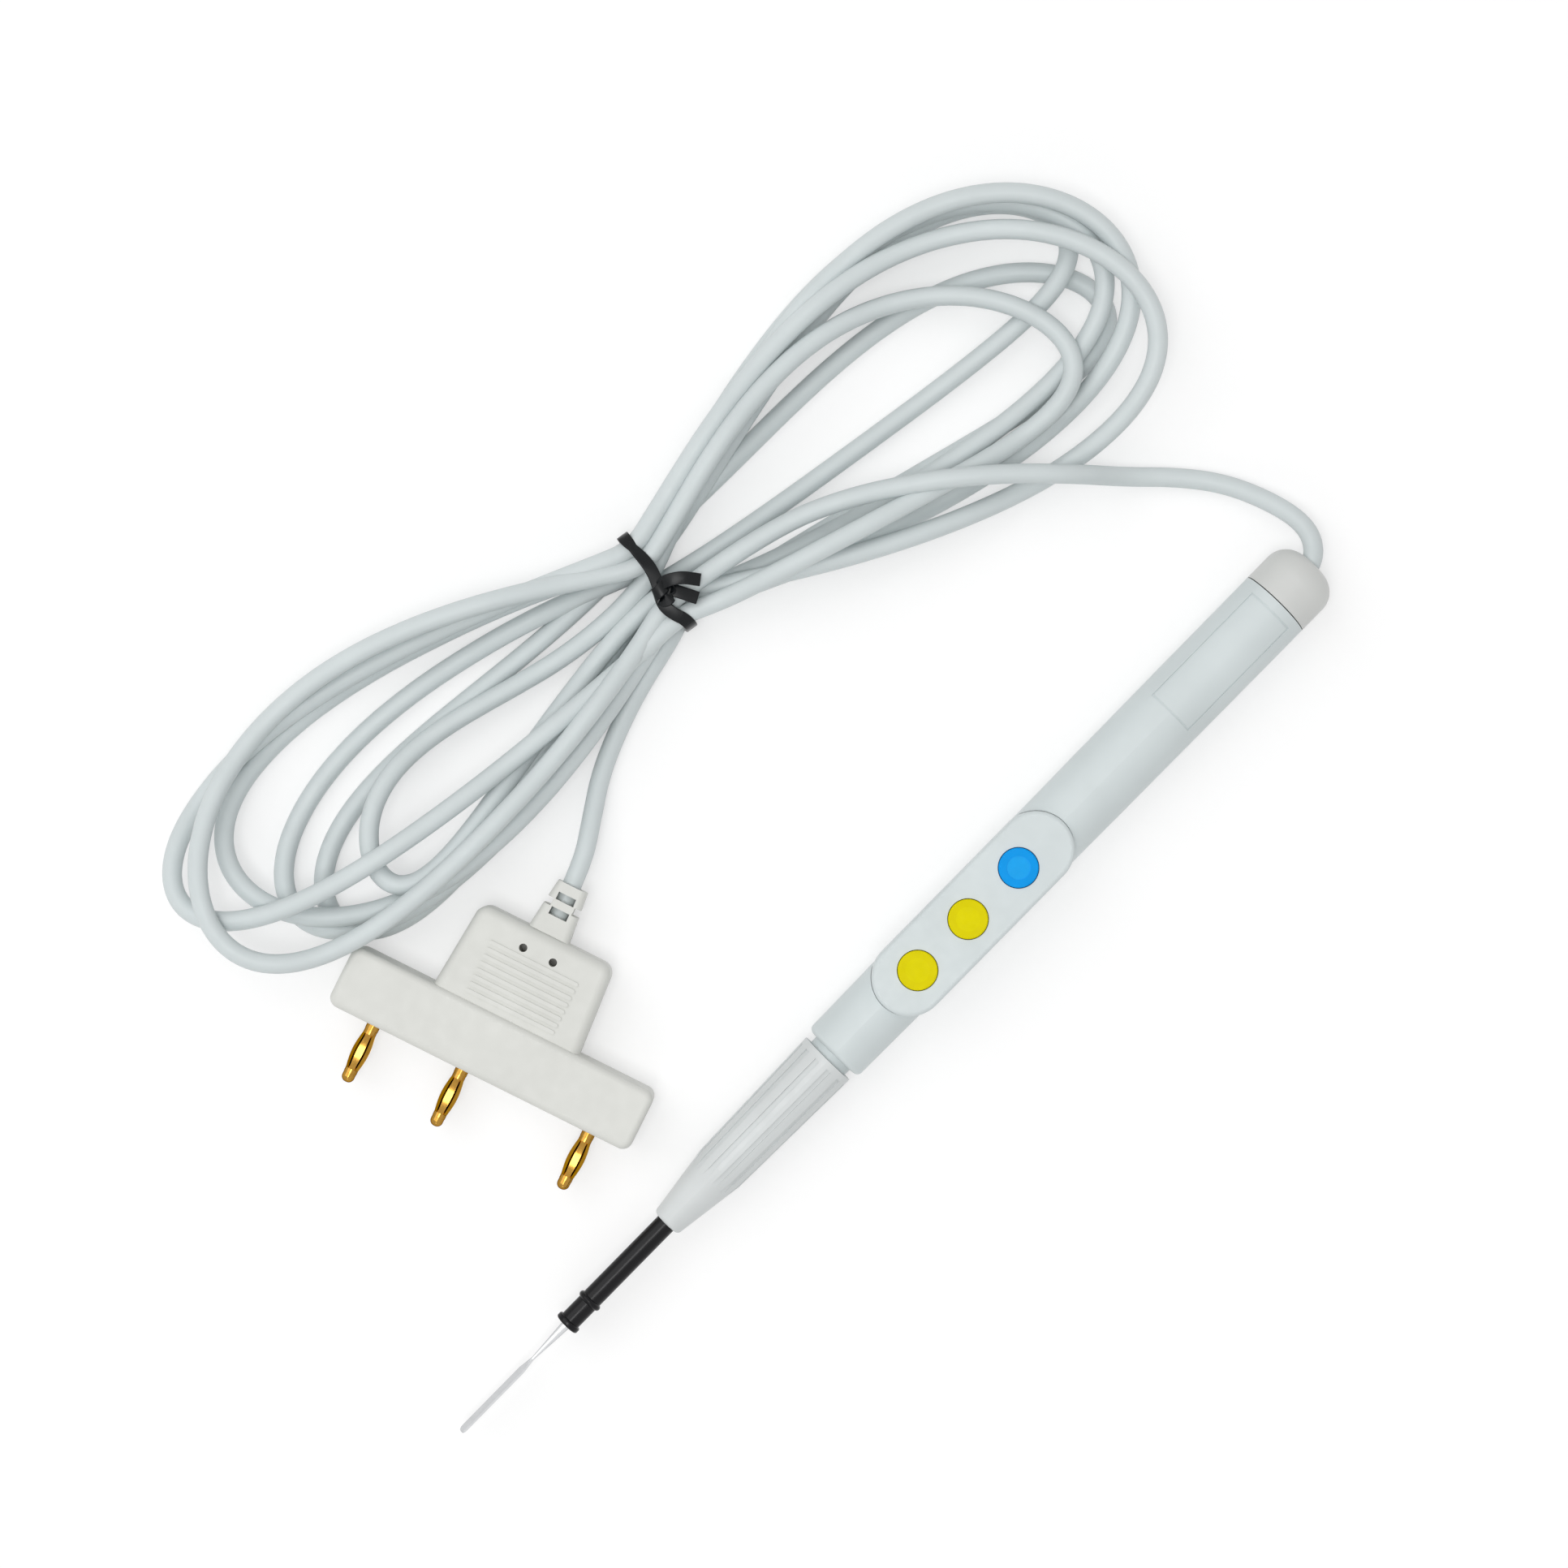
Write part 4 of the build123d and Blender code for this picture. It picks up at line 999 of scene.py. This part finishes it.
@dataclass
class LanternSpring:
    """Spring barrel of a plug pin: a collar at each end and bars that bulge between them."""

    node: str
    across: float
    face: float = 47.5 * MM
    start: float = 1.62 * MM
    end: float = 12.28 * MM
    collar: float = 1.0 * MM
    collar_radius: float = 1.5 * MM
    collar_steps: int = 36
    bulge_radius: float = 2.0 * MM
    sheet: float = 0.28 * MM
    bars: int = 6
    slot: float = 0.5 * MM
    bar_steps: int = 14
    crease: float = math.radians(35.0)

    @property
    def bar_length(self) -> float:
        """Length of the bars between the collars."""
        return self.end - self.start - 2 * self.collar

    def radius(self, share: float) -> float:
        """Outer radius of a bar at a share of its length."""
        return self.collar_radius + (self.bulge_radius - self.collar_radius) * math.sin(math.pi * share)

    def add_bars(self, work: bmesh.types.BMesh) -> None:
        """Makes the bars, one flat bent strip set on top of the pin and then copied round it.

        Args:
            work: Mesh that takes the bars.
        """
        made = bmesh.ops.create_grid(work, x_segments=self.bar_steps, y_segments=1, size=0.5)["verts"]
        for vert in made:
            share = vert.co.x + 0.5
            inset = self.sheet if vert.co.y < 0 else 0.0
            along = self.start + self.collar + share * self.bar_length
            vert.co = (along, self.radius(share) - inset, 0.0)
        wide = 2 * math.pi / self.bars - self.slot / self.bulge_radius
        strip = [*made, *{edge for vert in made for edge in vert.link_edges}]
        strip += list({face for vert in made for face in vert.link_faces})
        bmesh.ops.spin(work, geom=strip, axis=(1, 0, 0), cent=(0, 0, 0), angle=wide, steps=1)
        on_top = Matrix.Rotation((math.pi - wide) / 2, 3, "X")
        bmesh.ops.rotate(work, verts=work.verts[:], cent=(0, 0, 0), matrix=on_top)
        first = [*work.verts, *work.edges, *work.faces]
        for count in range(1, self.bars):
            turn = Matrix.Rotation(2 * math.pi * count / self.bars, 3, "X")
            copy = bmesh.ops.duplicate(work, geom=first)["geom"]
            fresh = [part for part in copy if isinstance(part, bmesh.types.BMVert)]
            bmesh.ops.rotate(work, verts=fresh, cent=(0, 0, 0), matrix=turn)

    def add_collars(self, work: bmesh.types.BMesh) -> None:
        """Makes the two rings that hold the bars.

        Args:
            work: Mesh that takes the rings.
        """
        for front in (self.start, self.end - self.collar):
            made = bmesh.ops.create_grid(work, x_segments=1, y_segments=1, size=0.5)["verts"]
            for vert in made:
                inset = self.sheet if vert.co.y <= 0 else 0.0
                vert.co = (front + (vert.co.x + 0.5) * self.collar, self.collar_radius - inset, 0.0)
            rim = list({edge for vert in made for edge in vert.link_edges})
            inside = list({face for vert in made for face in vert.link_faces})
            bmesh.ops.delete(work, geom=inside, context="FACES_ONLY")
            bmesh.ops.spin(
                work,
                geom=[*made, *rim],
                axis=(1, 0, 0),
                cent=(0, 0, 0),
                angle=2 * math.pi,
                steps=self.collar_steps,
                use_merge=True,
            )

    def build(self, book: FinishBook) -> bpy.types.Object:
        """Makes the spring on its pin.

        Args:
            book: Materials by slot.

        Returns:
            The spring.
        """
        work = bmesh.new()
        self.add_bars(work)
        self.add_collars(work)
        place = Matrix.Translation(PLUG_ORIGIN) @ Matrix.Rotation(PLUG_TURN, 4, "Z")
        place = place @ Matrix.Translation((self.face, self.across, 0.0))
        bmesh.ops.transform(work, matrix=place, verts=work.verts[:])
        name = self.node.replace("pin_spring", "lantern")
        spring = finish_mesh(work, name, book.get("pin_gilt"), self.crease)
        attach(spring, HANDLE)
        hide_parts(self.node)
        return spring


@dataclass
class PhotoCamera:
    """Camera straight above, as the photograph was taken."""

    place: Point = (18.1 * MM, 50.1 * MM, 0.91)
    right: Spot = (0.701, -0.713)
    lens: float = 92.4
    sensor: float = 36.0
    nearest: float = 10.0 * MM

    def build(self) -> None:
        """Makes the camera and looks through it."""
        data = bpy.data.cameras.new("photo_camera")
        data.lens = self.lens
        data.sensor_width = self.sensor
        data.clip_start = self.nearest
        camera = place_object("photo_camera", data)
        across = Vector((*self.right, 0.0)).normalized()
        back = Vector((0.0, 0.0, 1.0))
        turn = Matrix((across, back.cross(across), back)).transposed().to_4x4()
        camera.matrix_world = Matrix.Translation(self.place) @ turn
        bpy.context.scene.camera = camera


class LampRole(Enum):
    """Soft boxes of the studio: place, target, side length in metres and power in watts."""

    KEY = ((-0.15, 1.15, 1.5), (0.0, 0.03, 0.0), 1.5, 9.0)
    TOP = ((-0.33, 0.0, 2.2), (0.0, 0.05, 0.0), 0.75, 13.5)
    RIM = ((-1.3, -0.7, 1.2), (0.0, 0.05, 0.0), 0.6, 1.5)


@dataclass
class Studio:
    """Pale floor, soft boxes and an even surround."""

    floor_size: float = 24.0
    floor_colour: Colour = (0.93, 0.93, 0.93)
    floor_roughness: float = 0.9
    cloud_scale: float = 3.0
    cloud_tones: Span = (0.995, 1.005)
    # The floor where it is seen: its colour, and its glow near the object and further off
    seen_colour: Colour = (0.6, 0.6, 0.6)
    seen_glow: float = 0.42
    far_glow: float = 0.7
    glow_range: Span = (0.6, 2.6)
    surround: float = 0.55

    def lamps(self) -> None:
        """Hangs the soft boxes."""
        for role in LampRole:
            place, target, side, power = role.value
            data = bpy.data.lights.new(f"softbox_{role.name.lower()}", "AREA")
            data.shape = "SQUARE"
            data.size = side
            data.energy = power
            lamp = place_object(data.name, data)
            lamp.location = place
            lamp.rotation_euler = (Vector(target) - Vector(place)).to_track_quat("-Z", "Y").to_euler()

    def world(self) -> None:
        """Sets the even surround, which is plain white where it is seen."""
        bench = NodeBench(bpy.data.worlds.new("studio"), "Background")
        bench.put(Color=WHITE)
        bench.feed("Strength", bench.ramp(bench.seen(), (0.0, 1.0), self.surround, 1.0))
        bpy.context.scene.world = bench.holder

    def floor_finish(self) -> bpy.types.Material:
        """Makes the floor's material, which takes shadows and is white where it is seen.

        Returns:
            The new material.
        """
        bench = NodeBench(bpy.data.materials.new("floor_white"))
        place = bench.coordinates()
        seen = bench.seen()
        cloud = bench.spread(bench.noise(place, self.cloud_scale))
        lit = bench.clouded(cloud, self.floor_colour, *self.cloud_tones)
        shown = bench.clouded(cloud, self.seen_colour, *self.cloud_tones)
        bench.feed("Base Color", bench.mix(seen, lit, shown))
        bench.put(Roughness=self.floor_roughness, Specular_IOR_Level=0.0, Emission_Color=WHITE)
        reach = bench.add("VectorMath", operation="LENGTH")
        bench.join(place, reach.inputs[0])
        level = bench.ramp(reach.outputs["Value"], self.glow_range, self.seen_glow, self.far_glow)
        bench.feed("Emission Strength", bench.gather("MULTIPLY", [seen, level]))
        return bench.holder

    def floor(self) -> None:
        """Lays the floor."""
        work = bmesh.new()
        bmesh.ops.create_grid(work, x_segments=2, y_segments=2, size=self.floor_size / 2)
        mesh = bpy.data.meshes.new("floor")
        work.to_mesh(mesh)
        work.free()
        mesh.materials.append(self.floor_finish())
        floor = place_object("floor", mesh)

    def build(self) -> None:
        """Makes the whole studio."""
        self.lamps()
        self.world()
        self.floor()
        bpy.context.scene.view_settings.view_transform = "Standard"


def main() -> None:
    """Builds the studio, dresses the frame and adds the pieces that are made here."""
    logging.basicConfig(level=logging.INFO, format="%(message)s")
    book = FinishBook(FINISHES)
    nodes = frame["nodes"]
    PhotoCamera().build()
    Studio().build()
    book.dress_frame(frame["record"], nodes)
    pieces = []
    for side, across in PIN_PLACES.items():
        pieces.append(LanternSpring(f"pin_spring_{side}", across).build(book))
    pieces.append(RibbonTie().build(book))
    on_cord = [nodes[name] for name in PLUG_NODES] + pieces
    pieces.append(CordHank().build(book, on_cord))
    for piece in pieces:
        LOG.info("piece %s takes %s", piece.name, piece.active_material.name)


if __name__ == "__main__":
    main()
